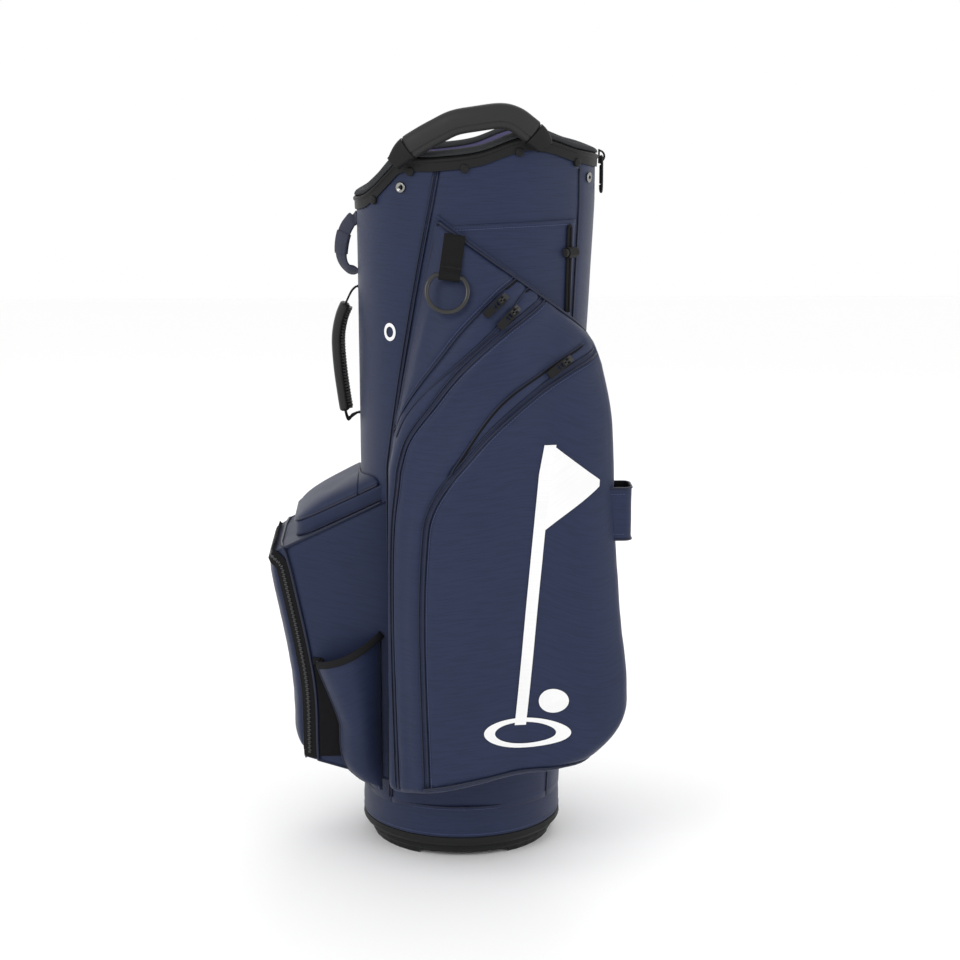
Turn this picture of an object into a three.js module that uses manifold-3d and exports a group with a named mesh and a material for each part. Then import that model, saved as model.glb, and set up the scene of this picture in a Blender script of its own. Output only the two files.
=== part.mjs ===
// Golf cart bag: an oval fabric tube on a round moulded foot tray, with a wavy moulded cuff, a carry
// handle over the right side of the cuff, a fourteen-way divider, and pockets on front and sides.
// Millimetres. +Z is up, -Y the front (ball pocket), +Y the spine, +X the right side.
// The origin is the middle of the foot tray, on the ground.
import * as THREE from "three";
import { mergeVertices } from "three/addons/utils/BufferGeometryUtils.js";
import Module from "manifold-3d";

const wasm = await Module();
wasm.setup();

// ---------------------------------------------------------------- driving dimensions
const GAP = 0.4; // between two pieces that touch
const TUBE_FIT = 0.9; // between the tube and a pocket cut to fit it
const FABRIC = 3; // stiffened fabric wall

// Tube: round at the foot, longer from front to back at the shoulder.
const SHOULDER_HEIGHT = 820;
const FOOT_HALF = 124;
const SHOULDER_HALF_X = 122;
const SHOULDER_HALF_Y = 148;
const SHOULDER_SHIFT_Y = 19;
const OVAL_POWER = 2.2;

// Seams of the tube, as angles round the oval: -90 is the front, 0 the right side, 90 the spine.
const FRONT_SEAM_TOP = -18.7;
const FRONT_SEAM_LOW = -45.5;
const FRONT_SEAM_LOW_HEIGHT = 500;
const SPINE_SEAM = 54;

// Foot: a moulded cup on four feet, a trim ring and a fabric band.
const FOOT_HEIGHT = 7;
const FOOT_FLOOR = 12;
const TRIM_BOTTOM = 17;
const TRIM_TOP = 29;
const BAND_TOP = 70;
const CUP_TOP = 60;
const CUP_WALL = 3;
const PAD_RADIUS = 30;

// Cuff: height of its lower edge above the shoulder, by angle from the front round to the spine.
const CUFF_ANGLES = [-90, -66, -54, -44, -37, -20, 0, 20, 32, 52, 90];
const CUFF_RISES = [-10, -6, 6, 25, 39, 41.5, 48, 65, 63, 49.5, 41];
const CUFF_SKIRT = 10;
const CUFF_OUT = 4.2;
const CUFF_SKIRT_OUT = 2.6;
const CUFF_TOP = 16.2;
const CUFF_DEPTH = 16.5;
const TUBE_IN_CUFF = 8;
const CUFF_FIT = 0.7; // between the tube and the cuff round it

// Divider: four cross sheets, two long sheets and a short one in front of them.
const SHEET = 2;
const CROSS_SHEETS = [-0.532, -0.121, 0.29, 0.702].map((share) => share * FOOT_HALF);
const LONG_SHEET_X = 38;
const SHEET_CLEARANCE = 8.5;
const DIVIDER_SLOPE_Y = -66;
const DIVIDER_BELOW_FRONT = 34;
const DIVIDER_ABOVE = 20;
const DIVIDER_CAP = 8;

// Stays inside the tube, beside the spine.
const STAY_ANGLE = 64;
const STAY_WIDTH = 12;
const STAY_THICK = 2.5;

// Carry handle over the cuff.
const HANDLE_FRONT_Y = -64;
const HANDLE_BACK_Y = 88;
const HANDLE_PEAK_Y = 44;
const HANDLE_RISE = 107;
const HANDLE_HALF_HIGH = 15;
const HANDLE_HALF_WIDE = 10.5;
const CORE_HALF_HIGH = 10;
const CORE_HALF_WIDE = 6;
const HANDLE_INWARD = 7;

// Apparel pockets: one on each side, a bulging shape laid on the tube.
const POCKET_FRONT = -44;
const POCKET_BACK = 60;
const POCKET_TOP_FRONT = 810;
const POCKET_TOP_BACK = 660;
const POCKET_BOTTOM = [95, 98, 103, 108, 118, 125, 130, 134, 164, 205];
const POCKET_BOTTOM_AT = [0, 0.15, 0.28, 0.36, 0.48, 0.56, 0.66, 0.82, 0.93, 1];
const POCKET_EDGE = 3;
const POCKET_GAP = 1.3;

// Ball pocket, valuables pocket and bottle pockets.
const BALL_HALF_WIDTH = 0.694 * FOOT_HALF;
const BALL_WALL = 3;
const BALL_DOOR_HALF = 0.814 * BALL_HALF_WIDTH;
const BALL_BAND = 18;
const DOOR_BULGE = 15;
const DOOR_THICK = 4;
const BALL_BOTTOM_BACK = 92;
const BALL_BOTTOM_FRONT = 120;
const SLOPE_START_Y = -100;
const SLOPE_START_Z = 455;
const SLOPE_FALL = 0.47;
const BALL_DEPTH = 88;
const VALUABLES_REACH = 206;
const VALUABLES_HALF = 0.884 * BALL_HALF_WIDTH;
const VALUABLES_TRAY = 20;
const LID_EDGE = 8;
const LID_CROWN = 8;
const LID_BACK_GAP = 3;
const BOTTLE_TOP_FRONT = 252;
const BOTTLE_TOP_BACK = 288;
const BOTTLE_BOTTOM = 80;
const BOTTLE_BULGE = 30;

// Webbing, loops, ring, cord and small fittings.
const WEBBING = 25.4;
const WEBBING_THICK = 1.8;
const RING_RADIUS = 0.965 * WEBBING;
const RING_BAR_RISE = 0.735 * RING_RADIUS;
const RING_WIRE = 3;
const RIVET_RADIUS = 5.4;
const RIVET_ANGLES = [-54.5, -32, -6.5, 18.4, 50.7];
const SNAP_RADIUS = 6.5;
const SNAPS = [["front", -37.3, 22], ["back", 63.3, 31]]; // angle, height above the shoulder
const LIFT_TOP = 713;
const LIFT_BOTTOM = 553;
const LOOP_TOP = 799;
const LOOP_BOTTOM = 732;
const CORD = 3.5;
const CORD_ANGLE = 46.6;
const CORD_TOP = 796;
const CORD_BOTTOM = 690;
const LOCK_HEIGHT = 763;
const LOCK_RADIUS = 6.5;
const LOCK_LENGTH = 15;
const BUTTON_RADIUS = 5;
const PULL_LENGTH = 32;
const PULL_WIDTH = 10;
const BAIL_RADIUS = 3.6;
const BAIL_WIRE = 0.8;
const SLIDER_HIGH = 3;
// Zips on the side pocket: place across it, height, and lean of the slider from upright in degrees.
const ZIPS = [
  ["zip_outer", 0.425, 713, -40],
  ["zip_middle", 0.485, 699, -40],
  ["zip_inner", 0.724, 638, -56],
];
const CLIP_LENGTH = 44;
const CLIP_WIDTH = 20;
const CLIP_WIRE = 1.7;
const LUG_RADIUS = 7.2;

// Umbrella sleeve behind the right side pocket.
const SLEEVE_LOW = 416;
const SLEEVE_HIGH = 482;
const SLEEVE_NEAR_X = 140;
const SLEEVE_FAR_X = 98;
const SLEEVE_OUT_Y = 205;
const SLEEVE_WALL = 2.6;

// ---------------------------------------------------------------- finishes
const finish = (color, roughness, metalness = 0) => () =>
  new THREE.MeshStandardMaterial({ color, roughness, metalness });
const navyFabric = finish(0x353f5e, 0.8);
const liningFabric = finish(0x4a4a78, 0.85);
const blackMoulding = finish(0x222222, 0.6);
const softGrip = finish(0x2b2b2b, 0.75);
const blackWebbing = finish(0x202020, 0.85);
const darkMetal = finish(0x4a4c4c, 0.35, 1);
const brightMetal = finish(0xc8c8c4, 0.25, 1);
const stayMetal = finish(0x9a9c9e, 0.4, 1);

// ---------------------------------------------------------------- helpers
const degrees = Math.PI / 180;
const mix = (a, b, t) => a + (b - a) * t;
const clamp01 = (t) => Math.min(1, Math.max(0, t));
const vec = (x, y, z) => new THREE.Vector3(x, y, z);

// Only positions, with shared corners, and the faces turned outwards.
function tidied(geometry) {
  const bare = geometry.clone();
  for (const name of Object.keys(bare.attributes)) {
    if (name !== "position") bare.deleteAttribute(name);
  }
  const merged = mergeVertices(bare, 1e-3);
  const p = merged.attributes.position;
  const index = Array.from(merged.index.array);
  const whole = [];
  let volume = 0;
  for (let i = 0; i < index.length; i += 3) {
    const [a, b, c] = index.slice(i, i + 3);
    if (a === b || b === c || c === a) continue;
    whole.push(a, b, c);
    const va = vec().fromBufferAttribute(p, a);
    const vb = vec().fromBufferAttribute(p, b);
    const vc = vec().fromBufferAttribute(p, c);
    volume += va.dot(vb.cross(vc));
  }
  if (volume < 0) whole.reverse();
  merged.setIndex(whole);
  return merged;
}

const solidOf = (geometry) => {
  const g = tidied(geometry);
  const mesh = new wasm.Mesh({
    numProp: 3,
    vertProperties: g.attributes.position.array,
    triVerts: new Uint32Array(g.index.array),
  });
  return new wasm.Manifold(mesh);
};

function geometryOf(solid) {
  const mesh = solid.getMesh();
  const g = new THREE.BufferGeometry();
  g.setAttribute("position", new THREE.BufferAttribute(mesh.vertProperties, 3));
  g.setIndex(Array.from(mesh.triVerts));
  return g;
}

const joined = (...parts) => parts.map(solidOf).reduce((a, b) => a.add(b));
const cut = (part, ...tools) => {
  const whole = tools.map(solidOf).reduce((a, b) => a.subtract(b), solidOf(part));
  return geometryOf(whole);
};

// A box whose corners and inner grid points are moved to map(u, v, w), each from 0 to 1.
function bentBox(nu, nv, nw, map) {
  const g = new THREE.BoxGeometry(1, 1, 1, nu, nv, nw);
  const p = g.attributes.position;
  for (let i = 0; i < p.count; i++) {
    const at = map(p.getX(i) + 0.5, p.getY(i) + 0.5, p.getZ(i) + 0.5);
    p.setXYZ(i, at.x, at.y, at.z);
  }
  return tidied(g);
}

// A closed section of [out, up] points swept round the oval by map(angle, out, up).
function bentRing(section, segments, map) {
  const shift = 200;
  const points = section.map(([out, up]) => new THREE.Vector2(out + shift, up));
  points.push(points[0].clone());
  const g = new THREE.LatheGeometry(points, segments);
  const p = g.attributes.position;
  for (let i = 0; i < p.count; i++) {
    const angle = Math.round(Math.atan2(p.getX(i), p.getZ(i)) / degrees / 0.01) * 0.01;
    const out = Math.hypot(p.getX(i), p.getZ(i)) - shift;
    const at = map(angle, out, p.getY(i));
    p.setXYZ(i, at.x, at.y, at.z);
  }
  return tidied(g);
}

function swept(shape, points, steps, rounding = 6) {
  const extrudePath = new THREE.CatmullRomCurve3(points);
  return new THREE.ExtrudeGeometry(shape, { steps, extrudePath, curveSegments: rounding });
}

function slab(outline, depth, holes = []) {
  const shape = new THREE.Shape(outline.map(([a, b]) => new THREE.Vector2(a, b)));
  for (const hole of holes) {
    shape.holes.push(new THREE.Path(hole.map(([a, b]) => new THREE.Vector2(a, b))));
  }
  return new THREE.ExtrudeGeometry(shape, { depth, bevelEnabled: false });
}

// A slab drawn in (y, z) and centred on the plane x = middle.
function slabAcross(outline, depth, middle = 0, holes = []) {
  const g = slab(outline, depth, holes);
  const turn = new THREE.Matrix4().set(0, 0, 1, middle - depth / 2, 1, 0, 0, 0, 0, 1, 0, 0, 0, 0, 0, 1);
  return g.applyMatrix4(turn);
}

// A slab drawn in (x, z) and centred on the plane y = middle.
function slabAlong(outline, depth, middle = 0) {
  const g = slab(outline, depth);
  const turn = new THREE.Matrix4().set(1, 0, 0, 0, 0, 0, -1, middle + depth / 2, 0, 1, 0, 0, 0, 0, 0, 1);
  return g.applyMatrix4(turn);
}

const roundSection = (radius) => new THREE.Shape().absarc(0, 0, radius, 0, 2 * Math.PI);
const ovalSection = (a, b) => new THREE.Shape().absellipse(0, 0, a, b, 0, 2 * Math.PI);
function barSection(halfA, halfB) {
  const shape = new THREE.Shape();
  shape.moveTo(-halfA, -halfB);
  shape.lineTo(halfA, -halfB);
  shape.lineTo(halfA, halfB);
  shape.lineTo(-halfA, halfB);
  shape.closePath();
  return shape;
}

const bag = new THREE.Group();
function add(name, geometry, material, parent = bag) {
  const mesh = new THREE.Mesh(tidied(geometry), material());
  mesh.name = name;
  parent.add(mesh);
  return mesh;
}

// ---------------------------------------------------------------- the oval tube
function ovalAt(z) {
  const t = clamp01(z / SHOULDER_HEIGHT);
  return {
    halfX: mix(FOOT_HALF, SHOULDER_HALF_X, t),
    halfY: mix(FOOT_HALF, SHOULDER_HALF_Y, t),
    centreY: SHOULDER_SHIFT_Y * t,
  };
}

// Point on the tube at an angle round the oval, moved out of its surface.
function tubePoint(angle, z, out = 0) {
  const oval = ovalAt(z);
  const c = Math.cos(angle * degrees);
  const s = Math.sin(angle * degrees);
  const reach = (Math.abs(c) ** OVAL_POWER + Math.abs(s) ** OVAL_POWER) ** (-1 / OVAL_POWER);
  return vec((oval.halfX + out) * reach * c, oval.centreY + (oval.halfY + out) * reach * s, z);
}

// Half width of the tube's inside at a place y, and its reach in y at a place x.
function halfWidthAt(y, z, out) {
  const oval = ovalAt(z);
  const t = Math.abs((y - oval.centreY) / (oval.halfY + out));
  return (oval.halfX + out) * Math.max(0, 1 - t ** OVAL_POWER) ** (1 / OVAL_POWER);
}
function reachAt(x, z, out, side) {
  const oval = ovalAt(z);
  const t = Math.abs(x / (oval.halfX + out));
  const y = (oval.halfY + out) * Math.max(0, 1 - t ** OVAL_POWER) ** (1 / OVAL_POWER);
  return oval.centreY + side * y;
}

// The left half mirrors the right: fold any angle to the range from -90 to 90.
function folded(angle) {
  const a = ((angle + 90 + 360) % 360) - 90;
  return a > 90 ? 180 - a : a;
}
const cuffCurve = new THREE.CubicInterpolant(CUFF_ANGLES, CUFF_RISES, 1);
const cuffLow = (angle) => SHOULDER_HEIGHT + cuffCurve.evaluate(folded(angle))[0];

function frontSeam(z) {
  const top = SHOULDER_HEIGHT + CUFF_RISES[CUFF_ANGLES.indexOf(-20)];
  const t = clamp01((z - FRONT_SEAM_LOW_HEIGHT) / (top - FRONT_SEAM_LOW_HEIGHT));
  return mix(FRONT_SEAM_LOW, FRONT_SEAM_TOP, t);
}

// A stretch of the tube's wall between two seams.
function tubePanel(nu, from, to) {
  const seamGap = 0.1;
  return bentBox(nu, 6, 1, (u, v, w) => {
    let z = mix(BAND_TOP + GAP, SHOULDER_HEIGHT, v);
    let angle = 0;
    for (let pass = 0; pass < 3; pass++) {
      angle = mix(from(z) + seamGap, to(z) - seamGap, u);
      z = mix(BAND_TOP + GAP, cuffLow(angle) + TUBE_IN_CUFF, v);
    }
    return tubePoint(angle, z, (w - 1) * FABRIC);
  });
}
add("tube_front_panel", tubePanel(12, (z) => -180 - frontSeam(z), frontSeam), navyFabric);
add("tube_right_panel", tubePanel(12, frontSeam, () => SPINE_SEAM), navyFabric);
const leftPanel = add("tube_left_panel", tubePanel(12, frontSeam, () => SPINE_SEAM), navyFabric);
leftPanel.scale.x = -1;
add("tube_spine_panel", tubePanel(8, () => SPINE_SEAM, () => 180 - SPINE_SEAM), navyFabric);

// The tube as one plug, grown, for cutting what is fitted round it.
const tubePlug = (grow) =>
  bentRing(
    [[grow, 0], [grow, SHOULDER_HEIGHT], [2 - SHOULDER_HALF_X, SHOULDER_HEIGHT], [2 - SHOULDER_HALF_X, 0]],
    72,
    (angle, out, up) => tubePoint(angle, up, out),
  );

// ---------------------------------------------------------------- foot
const cupRadius = FOOT_HALF - FABRIC - 1;
const footOuter = cupRadius - 5;
const footInner = footOuter - 24;
const notchHalf = 56;
const endNotchHalf = 23;
function footTray() {
  const profile = [
    [0, 0],
    [PAD_RADIUS, 0],
    [PAD_RADIUS + 3, 3],
    [footInner - 3, 3],
    [footInner, 0],
    [footOuter, 0],
    [footOuter + 3, FOOT_HEIGHT],
    [cupRadius, FOOT_HEIGHT + 3],
    [cupRadius, CUP_TOP],
    [cupRadius - CUP_WALL, CUP_TOP],
    [cupRadius - CUP_WALL - 2, FOOT_FLOOR],
    [0, FOOT_FLOOR],
  ];
  const cup = new THREE.LatheGeometry(profile.map(([r, z]) => new THREE.Vector2(r, z)), 40);
  cup.rotateX(Math.PI / 2);
  const notchHeight = FOOT_HEIGHT - 0.8;
  const notchInner = footInner - 6;
  const notchReach = cupRadius + 10 - notchInner;
  const notches = [0, 90, 180, 270].map((turn) => {
    const half = turn % 180 === 0 ? notchHalf : endNotchHalf;
    const tool = new THREE.BoxGeometry(notchReach, 2 * half, 2 * notchHeight);
    tool.translate(notchInner + notchReach / 2, 0, 0);
    return tool.rotateZ(turn * degrees);
  });
  return cut(cup, ...notches);
}
add("base_tray", footTray(), blackMoulding);

const aroundFoot = (angle, out, up) => vec(out, 0, up).applyAxisAngle(vec(0, 0, 1), angle * degrees);
const trimInner = cupRadius + GAP;
add(
  "base_trim",
  bentRing(
    [
      [trimInner, TRIM_BOTTOM],
      [FOOT_HALF + 2, TRIM_BOTTOM + 1],
      [FOOT_HALF + 4.5, TRIM_BOTTOM + 5],
      [FOOT_HALF + 4, TRIM_TOP],
      [trimInner, TRIM_TOP],
    ],
    40,
    aroundFoot,
  ),
  blackMoulding,
);
add(
  "base_band",
  bentRing(
    [
      [trimInner + 0.6, TRIM_TOP + GAP],
      [FOOT_HALF + 3.5, TRIM_TOP + GAP],
      [FOOT_HALF + 3.5, (TRIM_TOP + BAND_TOP) / 2],
      [FOOT_HALF + 1.5, BAND_TOP],
      [trimInner + 0.6, BAND_TOP],
    ],
    40,
    aroundFoot,
  ),
  navyFabric,
);

// ---------------------------------------------------------------- cuff
const roundCuff = (angle, out, up) => tubePoint(angle, cuffLow(angle) + up, out);
const cuffInside = [
  [-CUFF_DEPTH + 3, -2],
  [-CUFF_DEPTH + 3.5, TUBE_IN_CUFF],
  [-8, 12],
  [CUFF_FIT, 12.5],
];
const cuffOutside = [
  [CUFF_FIT, 0],
  [CUFF_SKIRT_OUT - 0.3, 0],
  [CUFF_SKIRT_OUT, CUFF_SKIRT],
  [CUFF_OUT, CUFF_SKIRT + 1.5],
  [CUFF_OUT, CUFF_SKIRT + 4],
  [1.5, CUFF_TOP],
  [-6, CUFF_TOP],
  [-CUFF_DEPTH + 2.5, CUFF_TOP - 3],
  [-CUFF_DEPTH, 6],
  [-CUFF_DEPTH, -2],
];
const cuffSegments = 44;
add("cuff_collar", bentRing([...cuffOutside, ...cuffInside], cuffSegments, roundCuff), blackMoulding);
const padPoints = [0, 1, 2, 3, 4, 5, 6, 7].map((i) => {
  const a = (i * Math.PI) / 4;
  return [-6.5 + 8.5 * Math.cos(a), CUFF_TOP + GAP + 1.8 + 1.8 * Math.sin(a)];
});
add("cuff_pad", bentRing(padPoints, cuffSegments, roundCuff), softGrip);

// ---------------------------------------------------------------- divider
const dividerFoot = FOOT_FLOOR + GAP;
function dividerTop(y) {
  const front = tubePoint(-90, SHOULDER_HEIGHT).y;
  const t = clamp01((y - front) / (DIVIDER_SLOPE_Y - front));
  return SHOULDER_HEIGHT + mix(-DIVIDER_BELOW_FRONT, DIVIDER_ABOVE, t);
}
const dividerMiddle = (dividerFoot + SHOULDER_HEIGHT) / 2;
const slotHalf = SHEET / 2 + GAP;
// Side edges of a sheet: inside the round cup below, inside the oval tube above it.
const cupInside = FOOT_HALF - FABRIC - 1 - CUP_WALL - 3.5;
const aboveBand = BAND_TOP + 3;
const sideLevels = (top) => [dividerFoot, aboveBand - 1, aboveBand, mix(aboveBand, top, 0.5), top];
const insideAt = (z, inTube, across) => (z < aboveBand ? Math.sqrt(cupInside ** 2 - across ** 2) : inTube);
function crossSheet(y, slotted) {
  const top = dividerTop(y);
  const side = sideLevels(top).map((z) => [insideAt(z, halfWidthAt(y, z, -SHEET_CLEARANCE), y), z]);
  const outline = [...side];
  const slot = (x) => [
    [x + slotHalf, top],
    [x + slotHalf, dividerMiddle - GAP],
    [x - slotHalf, dividerMiddle - GAP],
    [x - slotHalf, top],
  ];
  if (slotted) outline.push(...slot(LONG_SHEET_X), ...slot(-LONG_SHEET_X));
  outline.push(...side.map(([x, z]) => [-x, z]).reverse());
  return slabAlong(outline, SHEET, y);
}
CROSS_SHEETS.forEach((y, i) => {
  add(`divider_cross_${i + 1}`, crossSheet(y, i > 0), liningFabric);
});
function longSheet() {
  const start = CROSS_SHEETS[0] + SHEET / 2 + GAP;
  const outline = [[start, dividerFoot]];
  for (const y of CROSS_SHEETS.slice(1)) {
    outline.push([y - slotHalf, dividerFoot], [y - slotHalf, dividerMiddle + GAP]);
    outline.push([y + slotHalf, dividerMiddle + GAP], [y + slotHalf, dividerFoot]);
  }
  for (const z of sideLevels(dividerTop(SHOULDER_HALF_Y))) {
    outline.push([insideAt(z, reachAt(LONG_SHEET_X, z, -SHEET_CLEARANCE, 1), LONG_SHEET_X), z]);
  }
  outline.push([start, dividerTop(start)]);
  return slabAcross(outline, SHEET);
}
for (const [side, x] of [["right", LONG_SHEET_X], ["left", -LONG_SHEET_X]]) {
  add(`divider_long_${side}`, longSheet(), liningFabric).position.x = x;
}
const frontSheetEnd = CROSS_SHEETS[0] - SHEET / 2 - GAP;
function frontSheet() {
  const front = reachAt(0, SHOULDER_HEIGHT, -SHEET_CLEARANCE, -1);
  return slabAcross(
    [
      [-cupInside, dividerFoot],
      [frontSheetEnd, dividerFoot],
      [frontSheetEnd, dividerTop(frontSheetEnd)],
      [front, dividerTop(front)],
    ],
    SHEET,
  );
}
add("divider_front", frontSheet(), liningFabric);

// Rounded padded caps over the sheets' top edges, joined into one frame.
const capInset = Math.max(SHEET_CLEARANCE, CUFF_DEPTH + 2.6);
function dividerCaps() {
  const bars = CROSS_SHEETS.map((y) => {
    const half = halfWidthAt(y, dividerTop(y), -capInset);
    const bar = new THREE.BoxGeometry(2 * half, DIVIDER_CAP, DIVIDER_CAP);
    return bar.translate(0, y, dividerTop(y) + GAP + DIVIDER_CAP / 2);
  });
  const back = reachAt(LONG_SHEET_X, SHOULDER_HEIGHT, -capInset, 1);
  for (const x of [-LONG_SHEET_X, LONG_SHEET_X]) {
    const run = back - CROSS_SHEETS[0] + 2;
    const bar = new THREE.BoxGeometry(DIVIDER_CAP, run, DIVIDER_CAP - 1);
    bars.push(bar.translate(x, back - run / 2, dividerTop(back) + GAP + DIVIDER_CAP / 2));
  }
  const front = reachAt(0, SHOULDER_HEIGHT, -capInset, -1);
  const low = dividerTop(front) + GAP;
  const high = dividerTop(CROSS_SHEETS[0]) + GAP;
  const rise = DIVIDER_CAP - 1;
  const end = CROSS_SHEETS[0] - DIVIDER_CAP / 2 + 1;
  bars.push(slabAcross([[front, low], [end, high + 0.5], [end, high + rise], [front, low + rise]], rise));
  return geometryOf(joined(...bars));
}
add("divider_caps", dividerCaps(), softGrip);

// ---------------------------------------------------------------- stays
for (const [side, angle] of [["right", STAY_ANGLE], ["left", 180 - STAY_ANGLE]]) {
  const half = STAY_WIDTH / 2 / FOOT_HALF / degrees;
  const inset = FABRIC + 1.2;
  const stay = bentBox(2, 6, 1, (u, v, w) => {
    const z = mix(BAND_TOP + 1, cuffLow(angle) - 4, v);
    return tubePoint(mix(angle - half, angle + half, u), z, -inset - STAY_THICK * (1 - w));
  });
  add(`stay_${side}`, stay, stayMetal);
}

// ---------------------------------------------------------------- carry handle
const handlePeak = SHOULDER_HEIGHT + HANDLE_RISE;
const handleReach = CUFF_OUT + HANDLE_HALF_WIDE + 2.2;
const handleRoute = [
  [HANDLE_FRONT_Y - 18, 56],
  [HANDLE_FRONT_Y - 3, 40],
  [HANDLE_FRONT_Y + 15, 28],
  [HANDLE_FRONT_Y + 34, 17.5],
  [(HANDLE_FRONT_Y + HANDLE_PEAK_Y) / 2, 8],
  [HANDLE_PEAK_Y - 30, 3.5],
  [HANDLE_PEAK_Y, 0],
  [HANDLE_PEAK_Y + 17, 4],
  [HANDLE_BACK_Y - 14, 13],
  [HANDLE_BACK_Y, 25],
  [HANDLE_BACK_Y + 9, 37],
].map(([y, drop], i) => {
  const inward = HANDLE_INWARD * Math.sin((i / 10) * Math.PI);
  return vec(halfWidthAt(y, SHOULDER_HEIGHT, handleReach) - inward, y, handlePeak - drop);
});
const handleCurve = new THREE.CatmullRomCurve3(handleRoute);
const stretch = (from, to, count) =>
  Array.from({ length: count }, (_, i) => handleCurve.getPointAt(mix(from, to, i / (count - 1))));
const knuckleEnds = [0.11, 0.91];
const core = swept(ovalSection(CORE_HALF_WIDE, CORE_HALF_HIGH), stretch(0, 1, 12), 14, 5);
const knuckle = (from, to) =>
  swept(ovalSection(HANDLE_HALF_WIDE + 1, HANDLE_HALF_HIGH + 1), stretch(from, to, 5), 3, 5);
const cuffPlug = bentRing(
  [
    [-CUFF_DEPTH - 12, -30],
    [CUFF_OUT + GAP, -30],
    [CUFF_OUT + GAP, CUFF_SKIRT + 5],
    [2.8, CUFF_TOP + GAP + 4],
    [-CUFF_DEPTH - 12, CUFF_TOP + GAP + 4],
  ],
  cuffSegments,
  roundCuff,
);
const handleBlank = joined(core, knuckle(0, knuckleEnds[0]), knuckle(knuckleEnds[1], 1));
add("top_handle", geometryOf(handleBlank.subtract(solidOf(cuffPlug))), blackMoulding);
const gripShape = ovalSection(HANDLE_HALF_WIDE, HANDLE_HALF_HIGH);
const gripBore = new THREE.Path();
gripBore.absellipse(0, 0, CORE_HALF_WIDE + 1.4, CORE_HALF_HIGH + 1.4, 0, 2 * Math.PI);
gripShape.holes.push(gripBore);
const gripPoints = stretch(knuckleEnds[0] + 0.016, knuckleEnds[1] - 0.014, 12);
add("top_handle_grip", swept(gripShape, gripPoints, 14, 5), softGrip);

// ---------------------------------------------------------------- apparel pockets
// How far the pocket stands off the tube; u runs from its front edge to its back edge.
const backBulge = new THREE.CubicInterpolant(
  [100, 238, 341, 467, 600, 700],
  [112, 112, 94, 78, 74, 74],
  1,
);
function pocketFrontEdge(z) {
  const t = clamp01((z - FRONT_SEAM_LOW_HEIGHT - 5) / (POCKET_TOP_FRONT - FRONT_SEAM_LOW_HEIGHT - 5));
  return mix(POCKET_FRONT, FRONT_SEAM_TOP, t);
}
const pocketTop = (u) => mix(POCKET_TOP_FRONT, POCKET_TOP_BACK, u) + 5 * Math.sin(Math.PI * u);
const bottomCurve = new THREE.CubicInterpolant(POCKET_BOTTOM_AT, POCKET_BOTTOM, 1);
const pocketBottom = (u) => bottomCurve.evaluate(clamp01(u))[0];
const pocketAcross = new THREE.CubicInterpolant(
  [0, 0.1, 0.26, 0.45, 0.65, 0.88, 0.96, 1],
  [0, 34, 50, 57, 62, 100, 70, 0],
  1,
);
function pocketDepth(u, z) {
  const across = pocketAcross.evaluate(u)[0];
  const atBack = clamp01((u - 0.45) / 0.43);
  const full = across * mix(1, backBulge.evaluate(z)[0] / 100, atBack);
  const below = clamp01((pocketTop(u) - z) / mix(320, 200, u));
  const rampHeight = mix(20, 70, clamp01((u - 0.7) / 0.2));
  const above = clamp01((z + 8 - pocketBottom(u)) / rampHeight);
  const rise = (1 - (1 - below) ** 2) ** mix(0.95, 0.5, u);
  return full * rise * Math.sqrt(1 - (1 - above) ** 2);
}
function pocketPoint(u, z, out = 0) {
  const angle = mix(pocketFrontEdge(z), POCKET_BACK, u);
  return tubePoint(angle, z, POCKET_GAP + POCKET_EDGE + pocketDepth(u, z) + out);
}
const easeEnds = (t) => t * t * (3 - 2 * t);
function apparelPocket(inset, outset) {
  return bentBox(12, 12, 1, (u, v, w) => {
    const across = mix(u, easeEnds(u), 0.5);
    const z = mix(pocketBottom(across), pocketTop(across), mix(v, easeEnds(v), 0.6));
    const angle = mix(pocketFrontEdge(z), POCKET_BACK, across);
    return w < 0.5 ? tubePoint(angle, z, POCKET_GAP - inset) : pocketPoint(across, z, outset);
  });
}
const pocketShape = apparelPocket(0, 0);
add("apparel_pocket_right", pocketShape, navyFabric);
add("apparel_pocket_left", pocketShape, navyFabric).scale.x = -1;

// Right-handed frame on the pocket: x across, y up its surface, z out of it.
function pocketFrame(u, z, out, lean = 0) {
  const at = pocketPoint(u, z, out);
  const across = pocketPoint(u + 0.01, z, out).sub(pocketPoint(u - 0.01, z, out)).normalize();
  const up = pocketPoint(u, z + 4, out).sub(pocketPoint(u, z - 4, out)).normalize();
  const normal = across.clone().cross(up).normalize();
  const rise = up.clone().applyAxisAngle(normal, lean * degrees);
  const side = rise.clone().cross(normal).normalize();
  const frame = new THREE.Group();
  frame.matrixAutoUpdate = false;
  frame.matrix.makeBasis(side, rise, normal).setPosition(at);
  bag.add(frame);
  return frame;
}

// Frame on the tube: x round it, y up it, z out of it.
function tubeFrame(angle, z, out) {
  const at = tubePoint(angle, z, out);
  const across = tubePoint(angle + 0.5, z).sub(tubePoint(angle - 0.5, z)).normalize();
  const up = tubePoint(angle, z + 4).sub(tubePoint(angle, z - 4)).normalize();
  const normal = across.clone().cross(up).normalize();
  const frame = new THREE.Group();
  frame.matrixAutoUpdate = false;
  frame.matrix.makeBasis(across, normal.clone().cross(across), normal).setPosition(at);
  bag.add(frame);
  return frame;
}

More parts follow.
